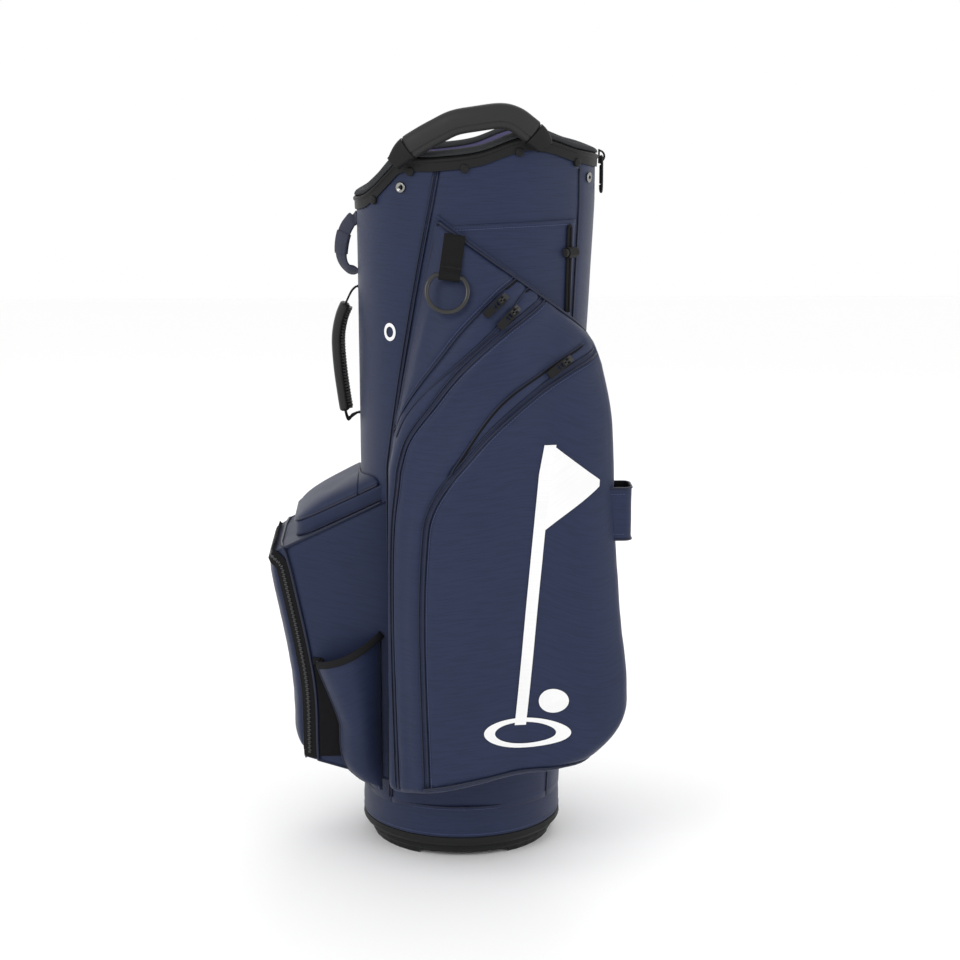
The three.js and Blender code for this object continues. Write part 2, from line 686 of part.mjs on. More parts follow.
// ---------------------------------------------------------------- zip sliders and pulls
function zipSlider() {
  const block = new THREE.BoxGeometry(8, 13, SLIDER_HIGH).translate(0, 0, SLIDER_HIGH / 2);
  const bailReach = BAIL_RADIUS + BAIL_WIRE;
  const arch = [-90, -54, -18, 18, 54, 90].map((a) =>
    vec(0, bailReach * Math.sin(a * degrees), SLIDER_HIGH + BAIL_RADIUS * Math.cos(a * degrees)),
  );
  arch[0].z -= 1;
  arch[5].z -= 1;
  return geometryOf(joined(block, swept(barSection(BAIL_WIRE, BAIL_WIRE), arch, 8)));
}
// The pull hangs from its end bar, which lies on the x axis.
function zipPull() {
  const half = PULL_WIDTH / 2;
  const rect = (y0, y1, a) => [[-a, y0], [a, y0], [a, y1], [-a, y1]];
  const outline = [[-half, 0.9], [-half, 2 - PULL_LENGTH], [2 - half, -PULL_LENGTH]];
  outline.push([half - 2, -PULL_LENGTH], [half, 2 - PULL_LENGTH], [half, 0.9]);
  const holes = [rect(-6.5, -0.9, half - 2), rect(-12, -9, half - 2), rect(-17, -14, half - 2)];
  return slab(outline, 1.8, holes).translate(0, 0, -0.9);
}
const pivotHigh = SLIDER_HIGH + 1.35;
function zipPair(name, frame) {
  add(`${name}_slider`, zipSlider(), darkMetal, frame);
  add(`${name}_pull`, zipPull(), softGrip, frame).position.z = pivotHigh;
}
for (const [name, u, z, lean] of ZIPS) zipPair(name, pocketFrame(u, z, 0.7, lean));

// ---------------------------------------------------------------- towel ring on its webbing
const towelFrame = pocketFrame(0.128, 788, 3.2, 6);
const strapDrop = 52;
const eye = 3.9;
const strapOutline = [
  [0, 0],
  [0, -strapDrop + eye],
  [eye * 0.3 - 0.2, -strapDrop - eye * 0.2],
  [eye, -strapDrop - eye - 0.6],
  [2 * eye, -strapDrop - eye * 0.4],
  [2 * eye + 0.6, -strapDrop + eye * 0.5],
  [eye + 0.8, -strapDrop + eye + 1.5],
  [WEBBING_THICK, -strapDrop + eye + 4.5],
  [WEBBING_THICK, 0],
];
const eyeHole = [0, 1, 2, 3, 4, 5, 6, 7].map((i) => [
  eye + 0.4 + (RING_WIRE * 0.75 + 0.35) * Math.cos((i * Math.PI) / 4),
  -strapDrop + (RING_WIRE * 0.75 + 0.35) * Math.sin((i * Math.PI) / 4),
]);
function towelStrap() {
  const g = slab(strapOutline, WEBBING, [eyeHole]);
  const turn = new THREE.Matrix4().set(0, 0, 1, -WEBBING / 2, 0, 1, 0, 0, 1, 0, 0, 0, 0, 0, 0, 1);
  return g.applyMatrix4(turn);
}
add("towel_webbing", towelStrap(), blackWebbing, towelFrame);
function towelRing() {
  const start = Math.asin(RING_BAR_RISE / RING_RADIUS);
  const sweep = Math.PI + 2 * start;
  const centre = -RING_BAR_RISE;
  const points = Array.from({ length: 15 }, (_, i) => {
    const a = Math.PI - start + (sweep * i) / 14;
    return vec(RING_RADIUS * Math.cos(a), centre + RING_RADIUS * Math.sin(a), 0);
  });
  const bow = swept(ovalSection(RING_WIRE * 0.75, RING_WIRE), points, 18, 4);
  const half = RING_RADIUS * Math.cos(start) + RING_WIRE * 0.6;
  const barRadius = RING_WIRE * 0.72;
  const bar = new THREE.CylinderGeometry(barRadius, barRadius, 2 * half, 8).rotateZ(Math.PI / 2);
  return geometryOf(joined(bow, bar));
}
add("towel_ring", towelRing(), darkMetal, towelFrame).position.set(0, -strapDrop, eye + 0.4);

// ---------------------------------------------------------------- cuff rivets and hood snaps
const lathed = (points, segments) =>
  new THREE.LatheGeometry(points.map(([r, z]) => new THREE.Vector2(r, z)), segments).rotateX(Math.PI / 2);
const rivetHead = [[0, 0], [RIVET_RADIUS - 0.3, 0], [RIVET_RADIUS, 0.8], [RIVET_RADIUS - 1.6, 2], [0, 2.5]];
RIVET_ANGLES.forEach((angle, i) => {
  const frame = tubeFrame(angle, cuffLow(angle) + CUFF_SKIRT / 2 - 1, CUFF_SKIRT_OUT + GAP);
  add(`cuff_rivet_${i + 1}`, lathed(rivetHead, 12), blackMoulding, frame);
});
const snapBody = [[0, 0], [SNAP_RADIUS, 0], [SNAP_RADIUS, 1.2], [SNAP_RADIUS - 1.5, 2.4]];
snapBody.push([SNAP_RADIUS - 3.2, 1.5], [1.8, 1.4], [1.6, 2.8], [0, 3]);
for (const [place, angle, rise] of SNAPS) {
  for (const [side, at] of [["right", angle], ["left", 180 - angle]]) {
    const frame = tubeFrame(at, SHOULDER_HEIGHT + rise, GAP + 0.2);
    add(`hood_snap_${place}_${side}`, lathed(snapBody, 12), brightMetal, frame);
  }
}

// ---------------------------------------------------------------- accessory clip at the spine
const clipHeight = cuffLow(90) + CUFF_SKIRT + 2.6;
const clipFrame = tubeFrame(90, clipHeight, CUFF_OUT + GAP);
const lugArch = [-90, -60, -30, 0, 30, 60, 90].map((a) =>
  vec(0, LUG_RADIUS * Math.sin(a * degrees), LUG_RADIUS * Math.cos(a * degrees) + 0.3),
);
const lugPlate = new THREE.BoxGeometry(8, 2 * LUG_RADIUS + 3, 1.6).translate(0, 0, 0.8);
const lugLoop = swept(barSection(1.5, 1.2), lugArch, 10);
add("clip_lug", geometryOf(joined(lugPlate, lugLoop)), blackMoulding, clipFrame);
// The hook is an open C that hangs in the lug; the gate closes its side.
const clipSwing = new THREE.Group();
clipSwing.position.set(0, 0, 3.75);
clipFrame.add(clipSwing);
const clipTop = 1.2;
const clipHalf = CLIP_WIDTH / 2;
const gateTop = -CLIP_LENGTH * 0.22;
const gateBottom = -CLIP_LENGTH * 0.8;
const hookRoute = [
  vec(clipHalf, gateTop, 0),
  vec(clipHalf, -clipHalf * 0.75, 0),
  vec(clipHalf * 0.7, -clipHalf * 0.16, 0),
  vec(0, clipTop - 1.2, 0),
  vec(-clipHalf * 0.7, -clipHalf * 0.16, 0),
  vec(-clipHalf, -clipHalf * 0.75, 0),
  vec(-clipHalf, gateTop, 0),
  vec(-clipHalf, gateBottom, 0),
  vec(-clipHalf * 0.7, -CLIP_LENGTH + 1.8, 0),
  vec(0, -CLIP_LENGTH, 0),
  vec(clipHalf * 0.7, -CLIP_LENGTH + 1.8, 0),
  vec(clipHalf, gateBottom - 1, 0),
];
add("clip_hook", swept(roundSection(CLIP_WIRE), hookRoute, 26, 4), blackMoulding, clipSwing);
const gateLength = gateTop - gateBottom - 1.6;
const gateShape = new THREE.CapsuleGeometry(CLIP_WIRE - 0.3, gateLength - 2 * CLIP_WIRE + 0.6, 3, 8);
gateShape.translate(0, gateLength / 2 - 0.2, 0);
add("clip_gate", gateShape, darkMetal, clipSwing).position.set(clipHalf, gateBottom + 0.4, 0);

// ---------------------------------------------------------------- ball pocket
const slopeAt = (y) => SLOPE_START_Z - SLOPE_FALL * (SLOPE_START_Y - y);
const frontOfTube = (z) => tubePoint(-90, z).y;
// Distance of the pocket's front corners from the tube, by height.
const ballReach = new THREE.CubicInterpolant(
  [80, 128, 206, 262, 360, 420],
  [56, 59, 60, 67, 86, 98],
  1,
);
const ballCorner = (z) => frontOfTube(z) - ballReach.evaluate(z)[0];
function ballFront(x, z, inset = 0) {
  const t = clamp01((BALL_HALF_WIDTH - Math.abs(x)) / (BALL_HALF_WIDTH - BALL_DOOR_HALF));
  return ballCorner(z) - BALL_BAND * t + inset;
}
const ballBackY = -60;
function ballBlock(half, inset, doorHalf) {
  const stops = [-half, -doorHalf, -doorHalf / 3, doorHalf / 3, doorHalf, half];
  return bentBox(5, 8, 1, (u, v, w) => {
    const x = stops[Math.round(u * 5)];
    const backZ = mix(BALL_BOTTOM_BACK - 10 + inset, slopeAt(ballBackY) - inset, v);
    const frontTop = slopeAt(ballCorner(400) - BALL_BAND) - inset;
    const frontZ = mix(BALL_BOTTOM_FRONT + inset, frontTop, v);
    return w < 0.5 ? vec(x, ballBackY, backZ) : vec(x, ballFront(x, frontZ, inset), frontZ);
  });
}
const doorLow = BALL_BOTTOM_FRONT + 8;
const doorHigh = slopeAt(ballCorner(400) - BALL_BAND) - 8;
function ballMouth(half, low, high) {
  return bentBox(1, 8, 1, (u, v, w) => {
    const z = mix(low, high, v);
    return vec(mix(-half, half, u), mix(ballCorner(z) + 6, ballCorner(z) - 80, w), z);
  });
}
const ballTools = [
  ballBlock(BALL_HALF_WIDTH - BALL_WALL, BALL_WALL, BALL_DOOR_HALF - BALL_WALL),
  ballMouth(BALL_DOOR_HALF - 2, doorLow, doorHigh),
  tubePlug(TUBE_FIT),
];
add("ball_pocket", cut(ballBlock(BALL_HALF_WIDTH, 0, BALL_DOOR_HALF), ...ballTools), navyFabric);

// Bulged door, hinged along its lower edge.
function ballDoor() {
  const edge = 1;
  const half = BALL_DOOR_HALF - 2 - edge;
  return bentBox(8, 9, 1, (u, v, w) => {
    const x = mix(-half, half, u);
    const z = mix(doorLow + edge, doorHigh - edge, v);
    const crown = Math.sqrt((1 - (2 * u - 1) ** 4) * (1 - (2 * v - 1) ** 10));
    return vec(x, ballCorner(z) - BALL_BAND - DOOR_BULGE * crown + DOOR_THICK * (1 - w), z);
  });
}
const doorHinge = vec(0, ballCorner(doorLow) - BALL_BAND, doorLow + 1);
const door = add("ball_pocket_door", ballDoor().translate(0, -doorHinge.y, -doorHinge.z), navyFabric);
door.position.copy(doorHinge);

// The zip band's slider on the far band.
const bandMiddle = (BALL_HALF_WIDTH + BALL_DOOR_HALF) / 2;
const bandFoot = 150;
const bandHead = 380;
const bandPoint = (z) => vec(-bandMiddle - 0.6, ballFront(bandMiddle, z), z);
const bandUp = bandPoint(bandHead).sub(bandPoint(bandFoot)).normalize();
const bandNormal = vec(-BALL_BAND, BALL_DOOR_HALF - BALL_HALF_WIDTH, 0).normalize();
const bandSide = bandUp.clone().cross(bandNormal).normalize();
const bandOut = bandSide.clone().cross(bandUp).normalize();
const bandFrame = new THREE.Group();
bandFrame.matrixAutoUpdate = false;
bandFrame.matrix.makeBasis(bandSide, bandUp, bandOut);
bandFrame.matrix.setPosition(bandPoint(bandFoot).addScaledVector(bandOut, 4));
bag.add(bandFrame);
zipPair("zip_ball", bandFrame);

// ---------------------------------------------------------------- valuables pocket
function valuablesBlock(low, high, half, reach, backY, crown) {
  return bentBox(6, 2, 5, (u, v, w) => {
    const y = mix(backY, -reach, w);
    const side = 2 * u - 1;
    const x = side * (half - 8 * w * w);
    const round = Math.sqrt(Math.max(0, 1 - (Math.max(0, w - 0.7) / 0.36) ** 2));
    const swell = crown * (1 - side ** 4) * round;
    const base = slopeAt(y);
    const lift = mix(low, high + swell, v);
    return vec(x, y, base + lift);
  });
}
const trayLow = GAP + 0.2;
const trayBack = -80;
const tray = valuablesBlock(trayLow, VALUABLES_TRAY, VALUABLES_HALF, VALUABLES_REACH, trayBack, 0);
const trayRoom = valuablesBlock(
  trayLow + FABRIC,
  VALUABLES_TRAY + 9,
  VALUABLES_HALF - FABRIC,
  VALUABLES_REACH - FABRIC,
  trayBack,
  0,
);
add("valuables_pocket", cut(tray, trayRoom, tubePlug(TUBE_FIT)), navyFabric);
const lidBack = frontOfTube(480) - LID_BACK_GAP;
const lidLow = VALUABLES_TRAY + GAP + 0.2;
const lidHigh = lidLow + LID_EDGE;
const lidBlock = valuablesBlock(lidLow, lidHigh, VALUABLES_HALF, VALUABLES_REACH + 3, lidBack, LID_CROWN);
const lidInner = VALUABLES_HALF - FABRIC;
const lidRoom = valuablesBlock(
  lidLow - 9,
  lidHigh - FABRIC,
  lidInner,
  VALUABLES_REACH,
  lidBack - FABRIC,
  LID_CROWN - 1,
);
const lidHinge = vec(0, lidBack, slopeAt(lidBack) + lidHigh + LID_CROWN);
const lid = add("valuables_lid", cut(lidBlock, lidRoom).translate(0, -lidHinge.y, -lidHinge.z), navyFabric);
lid.position.copy(lidHinge);

// ---------------------------------------------------------------- bottle pockets
const bottleFrontEdge = new THREE.CubicInterpolant(
  [84, 95, 125, 184, 245, 262],
  [1, -26, -53, -70, -93, -97],
  1,
);
const pocketFrontY = (z) => tubePoint(POCKET_FRONT, z, POCKET_GAP + POCKET_EDGE).y;
const bottleBackY = Math.min(pocketFrontY(BOTTLE_BOTTOM), pocketFrontY(BOTTLE_TOP_BACK)) - 1.3;
function bottlePouch() {
  const wall = 2.4;
  return bentBox(9, 8, 1, (u, v, w) => {
    const top = mix(BOTTLE_TOP_FRONT, BOTTLE_TOP_BACK, u);
    const z = mix(BOTTLE_BOTTOM, top, mix(v, easeEnds(v), 0.3));
    const front = bottleBackY + Math.min(bottleFrontEdge.evaluate(Math.min(z, 262))[0], -6);
    const y = mix(front, bottleBackY, u);
    const full = BOTTLE_BULGE * Math.sqrt(clamp01((z - BOTTLE_BOTTOM) / 90));
    const bulge = full * Math.sin(Math.PI * mix(u, Math.sqrt(u), 0.3)) ** 0.7;
    const flat = BALL_HALF_WIDTH + GAP + 0.6;
    const seat = Math.max(flat, halfWidthAt(y, z, GAP + 0.6));
    return vec(seat + Math.max(bulge, 0) + wall * w, y, z);
  });
}
add("bottle_pocket_right", bottlePouch(), navyFabric);
add("bottle_pocket_left", bottlePouch(), navyFabric).scale.x = -1;

// ---------------------------------------------------------------- front lift handle
const liftAxisY = Math.min(frontOfTube(LIFT_TOP), frontOfTube(LIFT_BOTTOM)) - 2.2;
const liftRoute = [
  vec(0, 0, LIFT_TOP),
  vec(0, -6, LIFT_TOP - 6),
  vec(0, -13, LIFT_TOP - 20),
  vec(0, -20.5, LIFT_TOP - 38),
  vec(0, -25, LIFT_TOP - 64),
  vec(0, -23.5, LIFT_TOP - 98),
  vec(0, -19.5, LIFT_TOP - 132),
  vec(0, -15.5, LIFT_TOP - 158),
  vec(0, -12, LIFT_TOP - 168),
  vec(0, -7, LIFT_BOTTOM - 4),
  vec(0, 0, LIFT_BOTTOM),
];
const lift = new THREE.Group();
lift.position.set(0, liftAxisY, 0);
bag.add(lift);
const liftCurve = new THREE.CatmullRomCurve3(liftRoute);
const along = (curve, from, to, count) =>
  Array.from({ length: count }, (_, i) => curve.getPointAt(mix(from, to, i / (count - 1))));
// The webbing narrows to its sewn ends, so that it can swing to either side.
function liftWebbing() {
  const narrow = 3.4;
  const full = WEBBING / 2 - 1.5;
  return bentBox(1, 26, 1, (u, v, w) => {
    const at = liftCurve.getPointAt(v);
    const run = liftCurve.getTangentAt(v);
    const half = Math.min(full, narrow - at.y);
    const side = vec(1, 0, 0).multiplyScalar((2 * u - 1) * half);
    const out = vec(0, run.z, -run.y).multiplyScalar(2 * w - 1);
    return at.add(side).add(out);
  });
}
add("lift_handle_webbing", liftWebbing(), blackWebbing, lift);
const liftShape = barSection(WEBBING / 2 + 1.5, 7.6);
const liftBore = new THREE.Path();
liftBore.moveTo(-WEBBING / 2 + 0.9, -1.6);
liftBore.lineTo(-WEBBING / 2 + 0.9, 1.6);
liftBore.lineTo(WEBBING / 2 - 0.9, 1.6);
liftBore.lineTo(WEBBING / 2 - 0.9, -1.6);
liftBore.closePath();
liftShape.holes.push(liftBore);
add("lift_handle_grip", swept(liftShape, along(liftCurve, 0.13, 0.86, 12), 20), softGrip, lift);

// ---------------------------------------------------------------- front loop
const loopBack = frontOfTube(LOOP_TOP) - 2.3;
const loopRoute = [
  vec(0, loopBack, LOOP_TOP),
  vec(0, loopBack - 6, LOOP_TOP - 5),
  vec(0, loopBack - 13, LOOP_TOP - 17),
  vec(0, loopBack - 17, LOOP_TOP - 34),
  vec(0, loopBack - 17, LOOP_TOP - 51),
  vec(0, loopBack - 10, LOOP_TOP - 63),
  vec(0, loopBack + 0.6, LOOP_BOTTOM),
];
add("front_loop", swept(barSection(WEBBING / 2, 1.4), loopRoute, 22), navyFabric);

// ---------------------------------------------------------------- elastic cord and cord lock
const cordMiddle = (CORD_TOP + CORD_BOTTOM) / 2;
const cordFrame = tubeFrame(CORD_ANGLE, cordMiddle, CORD / 2 + GAP + 1.2);
const cordHalf = (CORD_TOP - CORD_BOTTOM) / 2;
const cordSide = CORD / 2 + 0.5;
const cordRoute = [
  vec(-cordSide, -cordHalf, 0),
  vec(-cordSide, -cordHalf / 3, 0),
  vec(-cordSide, cordHalf / 3, 0),
  vec(-cordSide, cordHalf - 10, 0),
  vec(-cordSide * 1.2, cordHalf - 4, 0),
  vec(0, cordHalf, 0),
  vec(cordSide * 1.2, cordHalf - 4, 0),
  vec(cordSide, cordHalf - 10, 0),
  vec(cordSide, cordHalf / 3, 0),
  vec(cordSide, -cordHalf / 3, 0),
  vec(cordSide, -cordHalf, 0),
];
add("elastic_cord", swept(roundSection(CORD / 2), cordRoute, 26, 4), blackWebbing, cordFrame);
const lockFrame = new THREE.Group();
lockFrame.position.set(0, LOCK_HEIGHT - cordMiddle, 2.2);
cordFrame.add(lockFrame);
function cordLock() {
  const barrel = new THREE.CylinderGeometry(LOCK_RADIUS, LOCK_RADIUS, LOCK_LENGTH, 14).rotateZ(Math.PI / 2);
  barrel.translate(1.5, 0, 0);
  const passage = new THREE.BoxGeometry(2 * cordSide + CORD + 1, 4 * LOCK_RADIUS, CORD + 0.9);
  passage.translate(0, 0, -2.2);
  const seatDepth = 3.2;
  const seat = new THREE.CylinderGeometry(BUTTON_RADIUS + GAP, BUTTON_RADIUS + GAP, 2 * seatDepth, 12);
  seat.rotateZ(Math.PI / 2).translate(1.5 - LOCK_LENGTH / 2, 0, 0);
  return cut(barrel, passage, seat);
}
const lockBody = cordLock();
const frontTrim = new THREE.BoxGeometry(60, 60, 10).translate(0, 0, -4.2 - 5);
add("cord_lock_body", cut(lockBody, frontTrim), blackMoulding, lockFrame);
const button = new THREE.CylinderGeometry(BUTTON_RADIUS, BUTTON_RADIUS, 4, 12).rotateZ(Math.PI / 2);
button.translate(-LOCK_LENGTH / 2 - GAP, 0, 0);
const buttonTrim = frontTrim.clone().translate(0, 0, GAP);
add("cord_lock_button", cut(button, buttonTrim), softGrip, lockFrame);

// ---------------------------------------------------------------- umbrella sleeve on the right pocket
function umbrellaSleeve() {
  const inner = 120;
  const outline = new THREE.Shape();
  const radius = 9;
  outline.moveTo(SLEEVE_NEAR_X, inner);
  outline.lineTo(SLEEVE_NEAR_X, SLEEVE_OUT_Y - radius);
  outline.absarc(SLEEVE_NEAR_X - radius, SLEEVE_OUT_Y - radius, radius, 0, Math.PI / 2);
  outline.absarc(SLEEVE_FAR_X + radius, SLEEVE_OUT_Y - radius, radius, Math.PI / 2, Math.PI);
  outline.lineTo(SLEEVE_FAR_X, inner);
  const r = radius - SLEEVE_WALL;
  outline.lineTo(SLEEVE_FAR_X + SLEEVE_WALL, inner);
  outline.absarc(SLEEVE_FAR_X + radius, SLEEVE_OUT_Y - radius, r, Math.PI, Math.PI / 2, true);
  outline.absarc(SLEEVE_NEAR_X - radius, SLEEVE_OUT_Y - radius, r, Math.PI / 2, 0, true);
  outline.lineTo(SLEEVE_NEAR_X - SLEEVE_WALL, inner);
  const depth = SLEEVE_HIGH - SLEEVE_LOW;
  const u = new THREE.ExtrudeGeometry(outline, { depth, bevelEnabled: false, curveSegments: 5 });
  u.translate(0, 0, SLEEVE_LOW);
  return cut(u, apparelPocket(30, GAP + 0.2), tubePlug(1));
}
add("umbrella_sleeve", umbrellaSleeve(), navyFabric);

export default bag;
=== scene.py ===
# Golf cart bag: the looks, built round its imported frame. Lengths are millimetres until a mesh is made.
import math

import bpy
import numpy as np
from mathutils import Matrix, Vector, noise


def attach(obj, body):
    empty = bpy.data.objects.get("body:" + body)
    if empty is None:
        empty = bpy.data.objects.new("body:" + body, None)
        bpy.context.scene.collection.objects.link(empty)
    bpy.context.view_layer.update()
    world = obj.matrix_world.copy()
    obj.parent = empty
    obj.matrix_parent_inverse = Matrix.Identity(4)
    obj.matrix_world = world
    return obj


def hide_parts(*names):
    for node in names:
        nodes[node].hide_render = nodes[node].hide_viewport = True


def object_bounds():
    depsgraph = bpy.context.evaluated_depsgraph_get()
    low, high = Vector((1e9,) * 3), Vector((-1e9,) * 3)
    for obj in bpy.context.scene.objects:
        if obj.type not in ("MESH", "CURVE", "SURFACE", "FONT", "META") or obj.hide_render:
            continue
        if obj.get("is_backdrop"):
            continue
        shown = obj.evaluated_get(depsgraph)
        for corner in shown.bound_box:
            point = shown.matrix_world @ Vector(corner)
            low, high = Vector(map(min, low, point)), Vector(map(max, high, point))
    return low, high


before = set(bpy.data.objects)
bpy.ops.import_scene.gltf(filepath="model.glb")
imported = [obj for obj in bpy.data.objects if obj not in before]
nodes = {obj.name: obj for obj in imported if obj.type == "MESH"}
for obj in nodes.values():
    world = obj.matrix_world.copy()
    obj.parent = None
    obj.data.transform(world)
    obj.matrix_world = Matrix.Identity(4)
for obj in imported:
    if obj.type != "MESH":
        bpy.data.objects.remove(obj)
cad_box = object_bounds()
MM = 0.001

# ------------------------------------------------------------------ studio
# A pale floor, three broad soft lamps and a white surround. The camera stands at the bag's right
# side, a little above its middle.
scene = bpy.context.scene
CAMERA_AT = (2.5993, -0.0663, 1.0)
LOOK_AT = (0.0009, 0.0245, 0.464)
camera = bpy.data.objects.new("camera", bpy.data.cameras.new("camera"))
camera.data.sensor_width = 36
camera.data.lens = 77.8
camera.location = CAMERA_AT
view_line = Vector(LOOK_AT) - Vector(CAMERA_AT)
camera.rotation_euler = view_line.to_track_quat("-Z", "Y").to_euler()
scene.collection.objects.link(camera)
scene.camera = camera

world = bpy.data.worlds.new("surround")
scene.world = world
world.use_nodes = True
world.node_tree.nodes["Background"].inputs["Color"].default_value = (1, 1, 1, 1)
world.node_tree.nodes["Background"].inputs["Strength"].default_value = 1.0
scene.view_settings.view_transform = "Standard"


def lamp(name, at, aim, size, power):
    data = bpy.data.lights.new(name, "AREA")
    data.size = size
    data.energy = power
    light = bpy.data.objects.new(name, data)
    light.location = at
    light.rotation_euler = (Vector(aim) - Vector(at)).to_track_quat("-Z", "Y").to_euler()
    scene.collection.objects.link(light)


lamp("key_lamp", (2.4, -1.9, 2.3), (0, 0, 0.5), 1.4, 26)
lamp("fill_lamp", (1.6, 2.6, 1.5), (0, 0, 0.5), 1.6, 12)
lamp("back_lamp", (-2.2, 0.4, 2.4), (0, 0, 0.6), 1.6, 16)


def wire(tree, kind, inputs=None, **settings):
    """Adds a shader node and feeds its inputs with values or with other nodes' outputs."""
    node = tree.nodes.new(kind)
    for key, value in settings.items():
        setattr(node, key, value)
    for key, value in (inputs or {}).items():
        if isinstance(value, bpy.types.NodeSocket):
            tree.links.new(value, node.inputs[key])
        else:
            node.inputs[key].default_value = value
    return node


def new_material(name, **settings):
    """A material with its Principled shader; settings are plain values on the shader's sockets."""
    material = bpy.data.materials.new(name)
    material.use_nodes = True
    shader = material.node_tree.nodes["Principled BSDF"]
    for key, value in settings.items():
        shader.inputs[key.replace("_", " ")].default_value = value
    return material, material.node_tree, shader


def tint(tree, share, first, second):
    """A colour between first and second; first may be another node's output."""
    first = first if isinstance(first, bpy.types.NodeSocket) else (*first, 1)
    values = {"Factor": share, "A": first, "B": (*second, 1)}
    return wire(tree, "ShaderNodeMix", values, data_type="RGBA").outputs["Result"]


floor_material, floor_tree, floor_shader = new_material("pale floor", Roughness=0.6)
floor_grain = wire(floor_tree, "ShaderNodeTexNoise", {"Scale": 3.0}).outputs["Fac"]
floor_tone = tint(floor_tree, floor_grain, [0.97] * 3, [0.99] * 3)
floor_tree.links.new(floor_tone, floor_shader.inputs["Base Color"])
floor_mesh = bpy.data.meshes.new("floor")
FLOOR_HALF = 6
floor_corners = [(x * FLOOR_HALF, y * FLOOR_HALF, 0) for x, y in ((-1, -1), (1, -1), (1, 1), (-1, 1))]
floor_mesh.from_pydata(floor_corners, [], [(0, 1, 2, 3)])
floor = bpy.data.objects.new("floor", floor_mesh)
floor.data.materials.append(floor_material)
scene.collection.objects.link(floor)
floor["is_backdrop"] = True

# ------------------------------------------------------------------ fabric tube
# Coated navy polyester over a stiff liner, cut in a front, two side and a spine panel. The panels
# meet in corded seams and are clamped in the cuff above and sewn to the foot band below.
NAVY = (0.0134, 0.0203, 0.0525)
NAVY_DARK = (0.007, 0.010, 0.027)
PIPING = (0.007, 0.010, 0.027)
SHOULDER = 820
FOOT_RADIUS, SHOULDER_HALF_X, SHOULDER_HALF_Y = 124, 122, 148
SHOULDER_BACK = 19
ROUNDNESS = 2.2
BAND_TOP = 70
CUFF_ANGLES = [-90, -66, -54, -44, -37, -20, 0, 20, 32, 52, 90]
CUFF_RISES = [-10, -6, 6, 25, 39, 41.5, 48, 65, 63, 49.5, 41]


def mix(a, b, t):
    return a + (b - a) * t


def clamp01(t):
    return min(1.0, max(0.0, t))


def tube_halves(z, out=0.0):
    """The oval tube's half width and half depth, and how far back its middle leans, at a height."""
    t = clamp01(z / SHOULDER)
    half_x, half_y = mix(FOOT_RADIUS, SHOULDER_HALF_X, t), mix(FOOT_RADIUS, SHOULDER_HALF_Y, t)
    return half_x + out, half_y + out, SHOULDER_BACK * t


def tube_point(angle, z, out=0.0):
    """A point on the oval tube: -90 degrees is the front, 0 the right side, 90 the spine."""
    half_x, half_y, centre = tube_halves(z, out)
    c, s = math.cos(math.radians(angle)), math.sin(math.radians(angle))
    reach = (abs(c) ** ROUNDNESS + abs(s) ** ROUNDNESS) ** (-1 / ROUNDNESS)
    return Vector((half_x * reach * c, centre + half_y * reach * s, z))


def tube_frame(angle, z, out=0.0):
    """Place on the tube with x round it, y up it and z out of it."""
    across = (tube_point(angle + 0.5, z) - tube_point(angle - 0.5, z)).normalized()
    up = (tube_point(angle, z + 4) - tube_point(angle, z - 4)).normalized()
    normal = across.cross(up).normalized()
    turn = Matrix((across, normal.cross(across), normal)).transposed().to_4x4()
    return Matrix.Translation(tube_point(angle, z, out)) @ turn


def smooth_line(points, steps):
    """A smooth line through a few points, in millimetres."""
    knots = [Vector(p) for p in points]
    line = []
    for i in range(len(knots) - 1):
        a, b = knots[max(i - 1, 0)], knots[i]
        c, d = knots[i + 1], knots[min(i + 2, len(knots) - 1)]
        for k in range(steps):
            t = k / steps
            square, cube = 2 * a - 5 * b + 4 * c - d, 3 * b - a - 3 * c + d
            line.append(0.5 * (2 * b + (c - a) * t + square * t * t + cube * t * t * t))
    return line + [knots[-1]]


def make_group(name, inputs, outputs):
    """An empty shader group with value or colour sockets, and its tree, input and output nodes."""
    group = bpy.data.node_groups.new(name, "ShaderNodeTree")
    kinds = {"value": "NodeSocketFloat", "colour": "NodeSocketColor", "vector": "NodeSocketVector"}
    for socket, kind in inputs:
        group.interface.new_socket(socket, in_out="INPUT", socket_type=kinds[kind])
    for socket, kind in outputs:
        group.interface.new_socket(socket, in_out="OUTPUT", socket_type=kinds[kind])
    return group, group.nodes.new("NodeGroupInput"), group.nodes.new("NodeGroupOutput")


def maths(tree, operation, a, b=None):
    inputs = {0: a} if b is None else {0: a, 1: b}
    return wire(tree, "ShaderNodeMath", inputs, operation=operation).outputs[0]


def scaled(tree, place, by):
    return wire(tree, "ShaderNodeVectorMath", {0: place, 1: by}, operation="MULTIPLY").outputs[0]


def spread(tree, value, low, high, from_low=0.0, from_high=1.0):
    """The value's own range, stretched to run from low to high."""
    ends = {"From Min": from_low, "From Max": from_high, "To Min": low, "To Max": high}
    return wire(tree, "ShaderNodeMapRange", {"Value": value, **ends}).outputs["Result"]


def surface(tree, shader, height, strength, deep, **fed):
    """Feeds the shader's sockets from nodes, and its Normal from a height, deep millimetres."""
    relief = wire(tree, "ShaderNodeBump", {"Height": height, "Strength": strength, "Distance": deep * MM})
    tree.links.new(relief.outputs["Normal"], shader.inputs["Normal"])
    for key, value in fed.items():
        tree.links.new(value, shader.inputs[key.replace("_", " ")])


